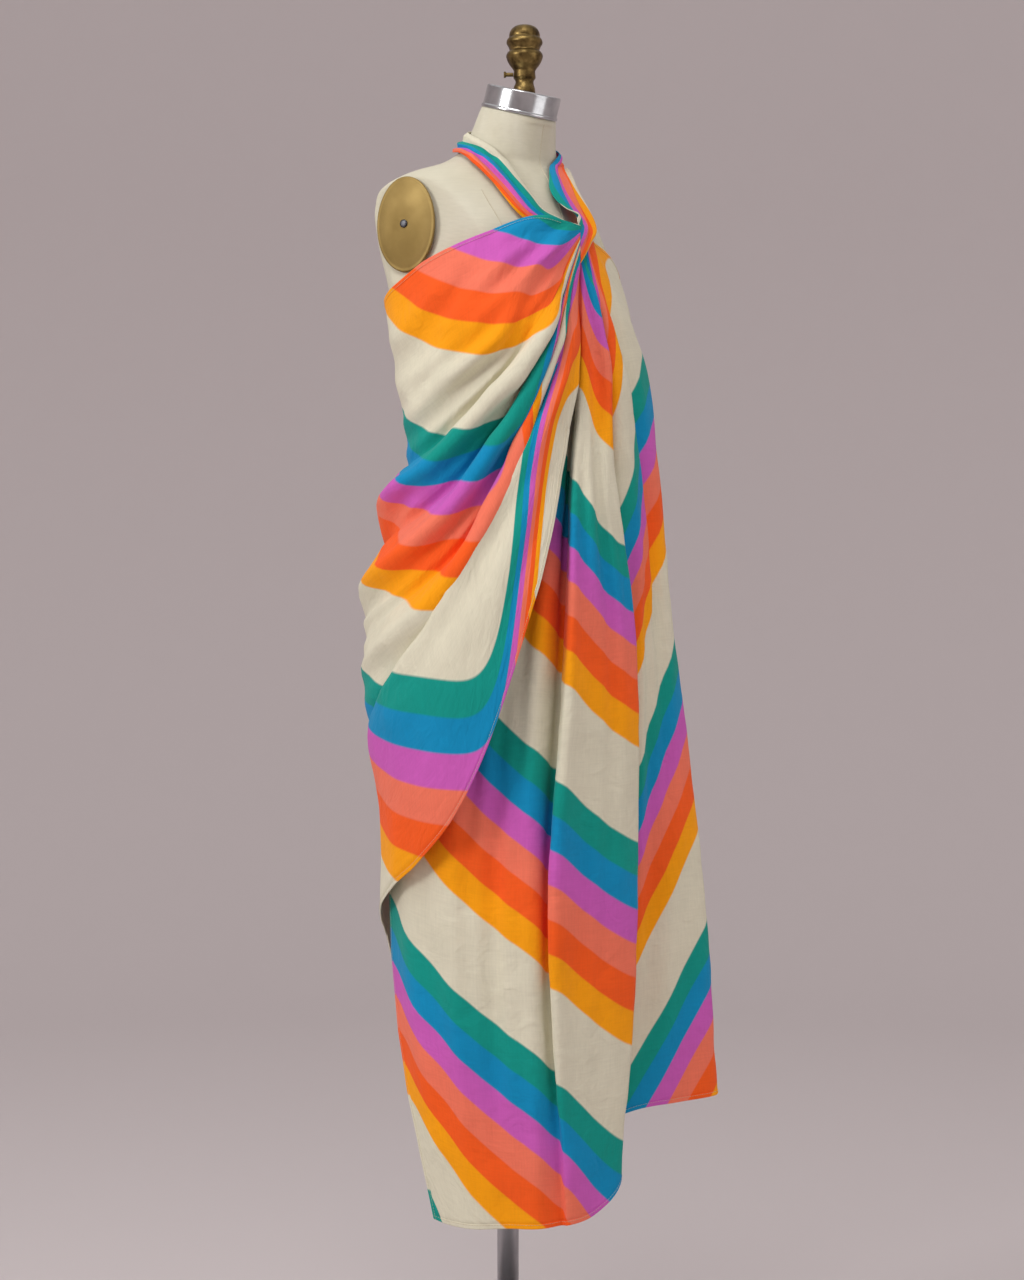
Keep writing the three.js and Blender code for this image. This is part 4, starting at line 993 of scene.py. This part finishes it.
ribbon_grids = []
straps = [
    ribbon_piece("strap_right", RIGHT_STRAP, STRAP_PLEATS, 170, -1, (0.30, 0.05), "halter_strap_right"),
    ribbon_piece("strap_left", LEFT_STRAP, STRAP_PLEATS, 170, 1, (0.02, 0.33), "halter_strap_left"),
    ribbon_piece("tail_left", LEFT_TAIL, TAIL_PLEATS, 60, 1, (0.1, 0.1), "knot_tail_left"),
    ribbon_piece("tail_right", RIGHT_TAIL, TAIL_PLEATS, 60, -1, (0.4, 0.2), "knot_tail_right"),
]

# %% [markdown]
# ## The knot
# At the nape the two corners cross once and pull tight. From behind that is a small block of cloth
# with slanting grooves, where one end passes over the other. It is a rounded form whose skin is
# pressed in along those grooves.

# %% The knot at the nape
KNOT = {"z": 1509, "half_width": 11.2, "depth": 10.2, "half_height": 18, "clear": 1.2}
KNOT_GRID = (96, 64)  # round, up


def squared(value, power):
    return np.sign(value) * np.abs(value) ** power


def knot():
    angle = np.linspace(0, 2 * np.pi, KNOT_GRID[0], endpoint=False)[:, None]
    rise = -np.cos(np.pi * np.linspace(0.02, 0.98, KNOT_GRID[1]))[None, :]
    girth = np.maximum(1 - np.abs(rise) ** 3, 0.02) ** 0.42
    bulge = 1 + 0.07 * np.sin(2 * angle + 5 * rise) * (1 - rise**2)
    groove = 0.07 * np.abs(np.sin(3.5 * angle + 4.5 * rise)) ** 0.5 + 0.03 * np.sin(11 * angle - 7 * rise)
    groove = groove * (1 - rise**4)
    x = KNOT["half_width"] * girth * squared(np.cos(angle), 0.6) * (0.97 + groove)
    z = KNOT["z"] + KNOT["half_height"] * rise + 0 * angle
    middle = form_reach(180.0, z) + KNOT["clear"] + KNOT["depth"]
    y = middle + KNOT["depth"] * girth * squared(np.sin(angle), 0.7) * bulge * (0.97 + groove)
    p = np.stack([x, y, z], -1)
    piece = new_object("nape_knot_cloth", *skin(p), VOILE)
    x, y, z = np.array([v.co for v in piece.data.vertices], float).T
    lay_flat(piece, np.stack([x * 2.2 + z + 0.3, z * 1.3 - y + 0.06], -1))
    return finished(piece, "cotton", "nape_knot")


knot_piece = knot()

# %% [markdown]
# ## Geometry Nodes for threads and wires
# Two small trees do all that follows a path. The wire tree gives a path a round section. The stitch
# tree cuts a path into equal steps and lays a short thread on each. Both take a mesh of plain edges.

# %% Trees along a path
def path_tree(name, sizes):
    tree = bpy.data.node_groups.new(name, "GeometryNodeTree")
    tree.interface.new_socket(name="Geometry", in_out="INPUT", socket_type="NodeSocketGeometry")
    for size in sizes:
        tree.interface.new_socket(name=size, in_out="INPUT", socket_type="NodeSocketFloat")
    tree.interface.new_socket(name="Material", in_out="INPUT", socket_type="NodeSocketMaterial")
    tree.interface.new_socket(name="Geometry", in_out="OUTPUT", socket_type="NodeSocketGeometry")
    given = add(tree, "NodeGroupInput").outputs
    path = add(tree, "GeometryNodeMeshToCurve", {"Mesh": given["Geometry"]}).outputs["Curve"]
    return tree, given, path


def end_tree(tree, geometry, given):
    real = add(tree, "GeometryNodeRealizeInstances", {"Geometry": geometry}).outputs["Geometry"]
    set_material = add(tree, "GeometryNodeSetMaterial", {"Geometry": real, "Material": given["Material"]})
    add(tree, "NodeGroupOutput", {"Geometry": set_material.outputs["Geometry"]})
    return tree


def wire_tree():
    tree, given, path = path_tree("wire along a path", ["Radius"])
    section = add(tree, "GeometryNodeCurvePrimitiveCircle", {"Resolution": 8, "Radius": given["Radius"]})
    wire = {"Curve": path, "Profile Curve": section.outputs["Curve"], "Fill Caps": True}
    return end_tree(tree, add(tree, "GeometryNodeCurveToMesh", wire).outputs["Mesh"], given)


def stitch_tree():
    tree, given, path = path_tree("stitches along a path", ["Spacing", "Length", "Radius"])
    even = {"Curve": path, "Length": given["Spacing"]}
    steps = add(tree, "GeometryNodeResampleCurve", even, mode="LENGTH")
    thread = add(
        tree,
        "GeometryNodeMeshCylinder",
        {"Vertices": 5, "Side Segments": 1, "Radius": given["Radius"], "Depth": given["Length"]},
    )
    tangent = add(tree, "GeometryNodeInputTangent").outputs["Tangent"]
    turned = add(tree, "FunctionNodeAlignRotationToVector", {"Vector": tangent}, axis="Z")
    laid = {
        "Points": steps.outputs["Curve"],
        "Instance": thread.outputs["Mesh"],
        "Rotation": turned.outputs["Rotation"],
    }
    return end_tree(tree, add(tree, "GeometryNodeInstanceOnPoints", laid).outputs["Instances"], given)


WIRE = wire_tree()
STITCH = stitch_tree()


def along_paths(name, paths, tree, material, closed=False, **sizes):
    """Runs a tree on polylines in mm, and keeps the result as a plain mesh."""
    verts, edges = [], []
    for path in paths:
        first = len(verts)
        verts += (np.asarray(path) * MM).tolist()
        edges += [(k, k + 1) for k in range(first, len(verts) - 1)]
        if closed:
            edges.append((len(verts) - 1, first))
    mesh = bpy.data.meshes.new(name + "_path")
    mesh.from_pydata(verts, edges, [])
    guide = linked(name + "_path", mesh)
    modifier = guide.modifiers.new("paths", "NODES")
    modifier.node_group = tree
    for socket in tree.interface.items_tree:
        if socket.item_type == "SOCKET" and socket.in_out == "INPUT":
            if socket.name in sizes:
                modifier[socket.identifier] = sizes[socket.name] * MM
            elif socket.name == "Material":
                modifier[socket.identifier] = material
    bpy.context.view_layer.update()
    evaluated = guide.evaluated_get(bpy.context.evaluated_depsgraph_get())
    made = bpy.data.meshes.new_from_object(evaluated)
    made.name = name
    bpy.data.objects.remove(guide)
    return linked(name, made)


print("trees", WIRE.name, "and", STITCH.name)

# %% [markdown]
# ## Hems
# Every edge of the sheet is turned under twice, 5 mm wide, and sewn with small straight stitches.
# The hem is its own thin band that wraps the edge, so it stands a little proud on both faces.

# %% Hems round the sheet
HEM_SECTION = (  # into the sheet, and out of its face
    (5.0, 0.05), (4.6, 0.42), (0.4, 0.48), (-0.5, 0.0), (-0.5, -0.8), (0.4, -1.35), (4.6, -1.3), (5.0, -0.95),
)
STITCH_LINE = (3.9, 0.56)
STITCH_SIZES = {"Spacing": 3.2, "Length": 2.3, "Radius": 0.16}


# Spun polyester sewing thread: twisted, matte, a little darker than the cream cloth.
THREAD = fibrous("sewing thread", 1400.0, 2.0, "#b3a585", "#ddd1b5", 0.0001, 0.75)


def hem(name, stretch, lines, uv_in):
    """A band that wraps an edge. inside points into the sheet, face out of it, both unit vectors."""
    edge, inside, face, uv = (line[stretch] for line in lines)
    section = np.array(HEM_SECTION)
    into, off = section[:, 0], section[:, 1]
    p = edge[:, None] + inside[:, None] * into[None, :, None] + face[:, None] * off[None, :, None]
    flat = uv[:, None] + np.array(uv_in)[None, None] * into[None, :, None] * MM
    count, sides = p.shape[:2]
    faces = grid_faces(count, sides, closed_columns=True)
    faces += [tuple(range(sides)), tuple((count - 1) * sides + k for k in range(sides))[::-1]]
    piece = new_object(name, p.reshape(-1, 3), faces, VOILE, smooth=False)
    lay_flat(piece, flat.reshape(-1, 2))
    if np.dot(np.cross(p[1, 0] - p[0, 0], p[0, 1] - p[0, 0]), p[0, 0] - p[0].mean(0)) < 0:
        piece.data.flip_normals()
    stitches = edge + inside * STITCH_LINE[0] + face * STITCH_LINE[1]
    return finished(piece, "cotton"), stitches


face = normals(draped) * side
into_low, into_top, into_front = (unit(inner - edge) for inner, edge in (
    (draped[:, -2], draped[:, -1]), (draped[:, 1], draped[:, 0]), (draped[1], draped[0])))
OPEN_TOP = slice(AROUND * 11, len(draped) - 18)  # clear of the two gathers
OPEN_LOW = slice(0, len(draped) - 40)
OPEN_FRONT = slice(6, None)
hems = [
    hem("hem_low", OPEN_LOW, (draped[:, -1], into_low, face[:, -1], wound_uv[:, -1]), (0, -1)),
    hem("hem_top", OPEN_TOP, (draped[:, 0], into_top, face[:, 0], wound_uv[:, 0]), (0, 1)),
    hem("hem_front", OPEN_FRONT, (draped[0], into_front, face[0], wound_uv[0]), (1, 0)),
]
stitching = along_paths("hem_stitches", [line for _, line in hems], STITCH, THREAD, **STITCH_SIZES)
finished(stitching, "cotton")

# %% [markdown]
# ## Linen
# The form's cover is unbleached linen: a plain weave whose threads vary in thickness, so it shows
# slubs. It is matte and slightly yellowed, more so near the seams where hands and pins have been.

# %% Linen cover
def linen():
    material, tree, surface = new_material("unbleached linen", {"Roughness": 0.9, "Sheen Weight": 0.1})
    flat, s, t = flat_spot(tree)
    slub = stretched_noise(tree, flat, (40.0, 420.0, 1.0), 3.0)
    stained = two_tones(tree, noise_at(tree, flat, 9.0, 5.0), "#cac4aa", "#dad6c2", (0.3, 0.75))
    shaded = {"Color": stained, "Value": ranged(tree, slub, 0.93, 1.06)}
    shade = add(tree, "ShaderNodeHueSaturation", shaded)
    tree.links.new(shade.outputs["Color"], surface.inputs["Base Color"])
    # Threads 0.7 mm apart, drawn twice as coarse.
    threads = maths(tree, "MULTIPLY", weave(tree, s, t, 0.0014), 0.4)
    emboss(tree, surface, maths(tree, "ADD", threads, slub), 0.3, 0.0005)
    return material


LINEN = linen()
PLATE_TURN = 72.0
ARMHOLE_REACH = 119.5
ARMHOLE = table(
    "z reach",
    (1240, 175),
    (1285, 140),
    (1320, 125),
    (1344, ARMHOLE_REACH),
    (1500, ARMHOLE_REACH),
)


def on_form(turn, z, lift=0.0, tuck=0.0):
    """A place on the linen, with the sides flattened at the armholes and the neck's top tipped."""
    p = place(turn, form_reach(turn, z) - tuck + lift, z)
    section = curve(FORM["z"], FORM_COLUMNS, np.clip(p[..., 2], FORM_BOTTOM, NECK_TOP))
    for hand in (1, -1):
        out = place(hand * PLATE_TURN, 1.0, 0.0)
        limit = curve(ARMHOLE["z"], ARMHOLE["reach"], np.clip(p[..., 2], 1240, 1500)) + lift
        over = np.where(p[..., 2] > 1240, np.maximum(p @ out - limit, 0), 0)
        p = p - over[..., None] * out
    tip = NECK_TILT * smoothstep(p[..., 2], NECK_TILT_FROM, NECK_TOP) * (p[..., 1] - section[..., 3])
    return p + np.stack([0 * tip, 0 * tip, tip], -1)


RIM_HEIGHTS = (808, 808.6, 810, 812.5, 816)  # the rounded lower rim, and how far it tucks in there
RIM_TUCK = (5, 2.6, 1.0, 0.2, 0)
LINEN_GIRTH = 0.95  # of the cover at the hip, in metres


def torso():
    turns = np.linspace(0, 360, 200, endpoint=False)[:, None]
    rim = np.array(RIM_HEIGHTS)
    heights = np.concatenate([rim[:-1], np.linspace(rim[-1], 1424, 90), np.linspace(1429, NECK_TOP, 50)])
    tuck = np.interp(heights, rim, RIM_TUCK)
    p = on_form(turns, heights[None, :], tuck=tuck[None, :])
    rows, columns = p.shape[:2]
    piece = new_object("linen_torso", *skin(p), LINEN)
    side_face = piece.data.polygons[20]
    if side_face.normal.dot(side_face.center * Vector((1, 1, 0))) < 0:
        piece.data.flip_normals()
    layer = piece.data.uv_layers.new(name="flat")
    girth = LINEN_GIRTH / rows
    for polygon in piece.data.polygons:
        row = min(polygon.vertices[0] // columns, rows)
        for index in polygon.loop_indices:
            vertex = piece.data.loops[index].vertex_index
            around = vertex // columns
            if row == rows - 1 and around == 0:
                around = rows
            layer.data[index].uv = (around * girth, piece.data.vertices[vertex].co.z)
    return finished(piece, "linen", "form_torso")


torso_piece = torso()

# %% [markdown]
# ## Seams of the form
# The cover is sewn from long panels. Its seams run down the centres, over the bust points and down
# the sides.

# %% Seams
# The two turned edges of a linen seam: the same unbleached cloth, a little darker with handling.
SEAM_LINEN = fibrous("linen seam", 700.0, 3.0, "#bdb297", "#d8cfb8", 0.0003, 0.9)


def form_seams():
    z = np.linspace(812, 1438, 120)
    princess = curve([808, 1120, 1275, 1400, 1446], [30, 26, 37, 50, 66], z)
    back_line = curve([808, 1120, 1300, 1446], [28, 22, 30, 44], z)
    paths = []
    for hand in (1, -1):
        paths.append(on_form(hand * princess, z, lift=0.12))
        paths.append(on_form(180 - hand * back_line, z, lift=0.12))
        side_z = z[z < 1300]
        paths.append(on_form(hand * 96.0 + 0 * side_z, side_z, lift=0.12))
    tall = np.linspace(812, 1530, 150)
    paths += [on_form(0 * tall, tall, lift=0.12), on_form(180.0 + 0 * tall, tall, lift=0.12)]
    return along_paths("form_seams", paths, WIRE, SEAM_LINEN, Radius=0.42)


finished(form_seams(), "linen")

# %% [markdown]
# ## Metals
# Three metals: polished aluminium for the neck cap, old brass for the finial and the arm plates, and
# dark steel for pole, cage and screws. Polished metal is nearly a mirror, so fine scratches and a
# few dull patches tell the eye that it is metal. Old brass is brown in its hollows.

# %% Metals
def metal(name, light, dark, roughness, patch_size, scratch=0.0):
    material, tree, surface = new_material(name, {"Metallic": 1.0})
    spot = object_spot(tree)
    patches = noise_at(tree, spot, 1 / patch_size, 5.0)
    tree.links.new(two_tones(tree, patches, dark, light, (0.34, 0.66)), surface.inputs["Base Color"])
    rough = ranged(tree, patches, roughness * 1.3, roughness * 0.75)
    tree.links.new(rough, surface.inputs["Roughness"])
    if scratch:
        emboss(tree, surface, noise_at(tree, spot, 900.0), scratch, 0.0002)
    return material


# Spun aluminium, polished: bright and cool, with faint dull patches.
ALUMINIUM = metal("polished aluminium", "#d3d5d6", "#b4b6b8", 0.2, 0.02)
# Turned brass, aged: golden where hands rub it, brown where they don't.
BRASS = metal("antique brass", "#8e7748", "#4a3a22", 0.4, 0.010, 0.2)
# Pressed brass plate, lacquered and dulled.
PLATE_BRASS = metal("dulled brass plate", "#a58e5a", "#9a8350", 0.66, 0.05, 0.15)
# Drawn wire, darkened: nearly black, satin.
STEEL = metal("dark steel", "#56565a", "#3a3a3c", 0.42, 0.03, 0.1)
# Steel tube, ground to a satin: grey and even.
TUBE_STEEL = metal("satin steel tube", "#c2c0c3", "#b1afb2", 0.42, 0.03, 0.1)


def black_enamel():
    # Cast iron, enamelled black: a soft gloss over a surface that still shows the sand's grain.
    material, tree, surface = new_material("black enamel", {"Base Color": colour("#1c1c1e")})
    grain = noise_at(tree, object_spot(tree), 260.0, 3.0)
    emboss(tree, surface, grain, 0.12, 0.0006)
    tree.links.new(ranged(tree, grain, 0.3, 0.45), surface.inputs["Roughness"])
    return material


ENAMEL = black_enamel()
print("metals", ALUMINIUM.name, BRASS.name, PLATE_BRASS.name, STEEL.name, ENAMEL.name)


# %% Turned pieces
def turned(name, radii, heights, segments, material, shape=None):
    """A closed skin of rings. shape moves each ring's points from (x, y, height) to their place."""
    angle = np.linspace(0, 2 * np.pi, segments, endpoint=False)[:, None]
    radii, heights = np.asarray(radii, float)[None, :], np.asarray(heights, float)[None, :]
    p = np.stack([radii * np.cos(angle), radii * np.sin(angle), heights + 0 * angle], -1)
    if shape:
        p = shape(p)
    piece = new_object(name, *skin(p), material)
    for polygon in piece.data.polygons:
        polygon.use_smooth = len(polygon.vertices) != 3
    return piece


def smooth_profile(rows, steps):
    """Radii and heights through the profile's rows, by length along it."""
    rows = np.array(rows, float)
    along = np.concatenate([[0], np.cumsum(np.linalg.norm(np.diff(rows, axis=0), axis=1))])
    dense = np.linspace(0, along[-1], steps)
    return curve(along, rows[:, 0], dense), curve(along, rows[:, 1], dense)


CAP = {"height": 25, "middle": -27, "radius": 42.4}
SEAM_GAP = 0.3
FINIAL_FOOT = NECK_TOP + CAP["height"] + 2 * SEAM_GAP
NECK_MIDDLE = float(FORM["middle"][-1])


def cap_shape(p):
    share = p[..., 2] / CAP["height"]
    middle = NECK_MIDDLE + (CAP["middle"] - NECK_MIDDLE) * share
    z = NECK_TOP + SEAM_GAP + p[..., 2] + NECK_TILT * p[..., 1]
    return np.stack([p[..., 0], middle + p[..., 1], z], -1)


# Radius beyond the cap's own, and height: first the rolled lip, then the rounded upper edge.
CAP_LIP = ((0.4, 0), (1.2, 0.3), (1.4, 1), (1.4, 2.6), (1.1, 3.3), (0.2, 3.8), (0, 4.6))
CAP_EDGE = ((0, 22.6), (-0.2, 23.8), (-0.8, 24.6), (-1.8, 24.95), (-4, 25), (-28.4, 25))
cap_rows = [(CAP["radius"] + beyond, height) for beyond, height in CAP_LIP + CAP_EDGE]
finished(turned("neck_cap", *zip(*cap_rows), 128, ALUMINIUM, cap_shape), "aluminium", "form_neck_cap")

FINIAL = (
    (12.7, 0), (12.4, 1.6), (12.2, 3.5), (11.0, 6.5), (10.4, 9.5), (11.2, 12.4),
    (12.6, 14), (12.6, 18.5), (12.6, 23),
    (13.2, 24.2), (14.0, 25.4), (17.4, 30), (20.2, 35.5), (21.2, 40), (19.8, 43.5), (17.4, 46.2), (17.4, 47),
    (18.6, 50.5), (20.9, 55), (20.2, 58.5), (17.9, 61.8), (17.9, 63), (17, 67.5), (13.6, 72.3),
    (7.4, 75.2), (2.0, 75.6),
)


def finial_shape(p):
    tip = NECK_TILT * p[..., 1] * np.clip(1 - p[..., 2] / 9, 0, 1)
    return np.stack([p[..., 0], CAP["middle"] + p[..., 1], FINIAL_FOOT + p[..., 2] + tip], -1)


finial = turned("finial", *smooth_profile(FINIAL, 110), 72, BRASS, finial_shape)
finished(finial, "brass", "form_finial")

# %% Thumb screw
THUMB = {"rise": 18.5, "turn": -135, "seat": 12.6}


UPWARD = np.array([0, 0, 1.0])


def thumb_shape(p):
    out, beside = place(THUMB["turn"], 1.0, 0.0), place(THUMB["turn"] + 90, 1.0, 0.0)
    middle = place(THUMB["turn"], THUMB["seat"] + SEAM_GAP, FINIAL_FOOT + THUMB["rise"])
    middle = middle + [0, CAP["middle"], 0]
    return middle + p[..., 2:] * out + p[..., :1] * beside + p[..., 1:2] * UPWARD


thread_rows = [(2.4 - 0.25 * (k % 2), 0.5 * k) for k in range(17)]  # radius and height
thumb_rows = thread_rows + [(2.4, 8.5), (3.5, 8.9), (3.6, 9.2), (3.6, 10.6), (3.3, 11.1)]
thumb = turned("thumb_screw", *zip(*thumb_rows), 24, BRASS, thumb_shape)
finished(thumb, "brass", "form_thumb_screw")

# %% [markdown]
# ## Arm plates
# A pressed oval plate closes each armhole. It is slightly domed, has a rolled rim and is held by one
# screw through its middle.

# %% Arm plates
PLATE = {"width": 74, "height": 108, "rim": 3.4, "dome": 3.2, "z": 1401, "side": 138.5, "back": 26.3}
PLATE_PROFILE = (
    (0.985, 0), (1.0, 0.15), (1.0, 0.6), (1.0, 0.84), (0.985, 0.99), (0.965, 1.03), (0.945, 1.0),
    (0.93, 0.99), (0.9, 1.1), (0.8, 1.42), (0.65, 1.66), (0.5, 1.82), (0.3, 1.92), (0.12, 1.94),
)
PLATE_SCREW = ((4.6, 0.0), (4.6, 0.7), (4.2, 1.3), (3.2, 1.6), (1.0, 1.62))


def plate_shape(hand, width, height, rise):
    out = place(hand * PLATE_TURN, 1.0, 0.0)
    beside = np.array([-out[1], out[0], 0.0])
    seat = place(hand * PLATE_TURN, ARMHOLE_REACH + SEAM_GAP, PLATE["z"])
    seat = seat + beside * (np.array([hand * PLATE["side"], PLATE["back"], 0.0]) @ beside)

    def shape(p):
        level = seat + (p[..., 2:] + rise) * out
        return level + p[..., :1] * width * beside + p[..., 1:2] * height * UPWARD

    return shape


for word, hand in (("left", 1), ("right", -1)):
    rows = [(share, rise * PLATE["rim"]) for share, rise in PLATE_PROFILE]
    plate = turned(f"arm_plate_{word}", *zip(*rows), 128, PLATE_BRASS,
                   plate_shape(hand, PLATE["width"] / 2, PLATE["height"] / 2, 0))
    finished(plate, "brass", f"form_arm_plate_{word}")
    lift = PLATE["rim"] + PLATE["dome"] + SEAM_GAP
    screw = turned(f"plate_screw_{word}", *zip(*PLATE_SCREW), 40, STEEL, plate_shape(hand, 1, 1, lift))
    finished(screw, "steel", f"form_plate_screw_{word}")

# %% [markdown]
# ## Stand and cage
# A steel tube carries the form over a round cast base, and a wire cage under the torso holds skirts
# out. The cage's uprights and hoops are paths for the wire tree.

# %% Pole, base and cage
POLE_RADIUS = 12.5
BASE_ROWS = (
    (172.6, 0), (173.6, 0.3), (174.7, 1.6), (175, 3), (174.8, 5), (174, 7), (168, 9.4), (161, 11.5),
    (130, 13.4), (87.5, 15), (60, 16.6), (38, 19), (30, 22.4), (26, 27), (23.4, 32), (22, 37), (22, 48),
    (22, 58.4), (21.4, 60.6), (20, 61.8), (19, 62),
)
CAGE = {"wire": 1.6, "half_width": 128, "depth": 86, "uprights": 8, "bottom": 412, "hoops": (601, 418)}
pole = turned("pole", [POLE_RADIUS] * 2, [62 + SEAM_GAP, FORM_BOTTOM - SEAM_GAP], 64, TUBE_STEEL)
finished(pole, "steel", "stand_pole")
base = turned("round_base", *zip(*BASE_ROWS), 128, ENAMEL)
finished(base, "enamel", "stand_base")


def cage_spot(angle, inset, z):
    spot = np.stack([CAGE["half_width"] * np.cos(angle), CAGE["depth"] * np.sin(angle), 0 * angle + z], -1)
    out = np.stack([np.cos(angle) / CAGE["half_width"], np.sin(angle) / CAGE["depth"], 0 * angle], -1)
    return spot - inset * unit(out)


inset = 2 * CAGE["wire"] + SEAM_GAP
for k in range(CAGE["uprights"]):
    a = 2 * np.pi * (k + 0.5) / CAGE["uprights"] + np.zeros(2)
    path = cage_spot(a, inset, np.array([CAGE["bottom"], FORM_BOTTOM - SEAM_GAP]))
    wire = along_paths(f"upright_{k + 1}", [path], WIRE, STEEL, Radius=CAGE["wire"])
    finished(wire, "steel", f"cage_upright_{k + 1}")
for word, z in zip(("upper", "lower"), CAGE["hoops"]):
    path = cage_spot(np.linspace(0, 2 * np.pi, 96, endpoint=False), 0.0, z)
    wire = along_paths(f"hoop_{word}", [path], WIRE, STEEL, closed=True, Radius=CAGE["wire"])
    finished(wire, "steel", f"cage_hoop_{word}")

# %% [markdown]
# ## The cloth's sizes
# Each soft sheet's area is printed with the size it was cut to, as far as it shows. The wound sheet's low
# corners are cut away by its slanting hems, and its top corners are rolled into the straps, so it
# fills about half of the rectangle that it is measured in.


def face_area(p):
    across_one, across_two = p[1:, 1:] - p[:-1, :-1], p[1:, :-1] - p[:-1, 1:]
    return float(np.linalg.norm(np.cross(across_one, across_two), axis=-1).sum() / 2) * MM * MM


print("wound cloth", round(face_area(draped), 3), "m2 of", *(np.ptp(v).round(3) for v in (flat_s, flat_t)))
for piece, p in zip(straps, ribbon_grids):
    wide, long = lengths(p, 0)[-1].mean(), lengths(p, 1)[:, -1].mean()
    print(piece.name, round(face_area(p), 4), "m2,", wide.round(3), "by", long.round(3))
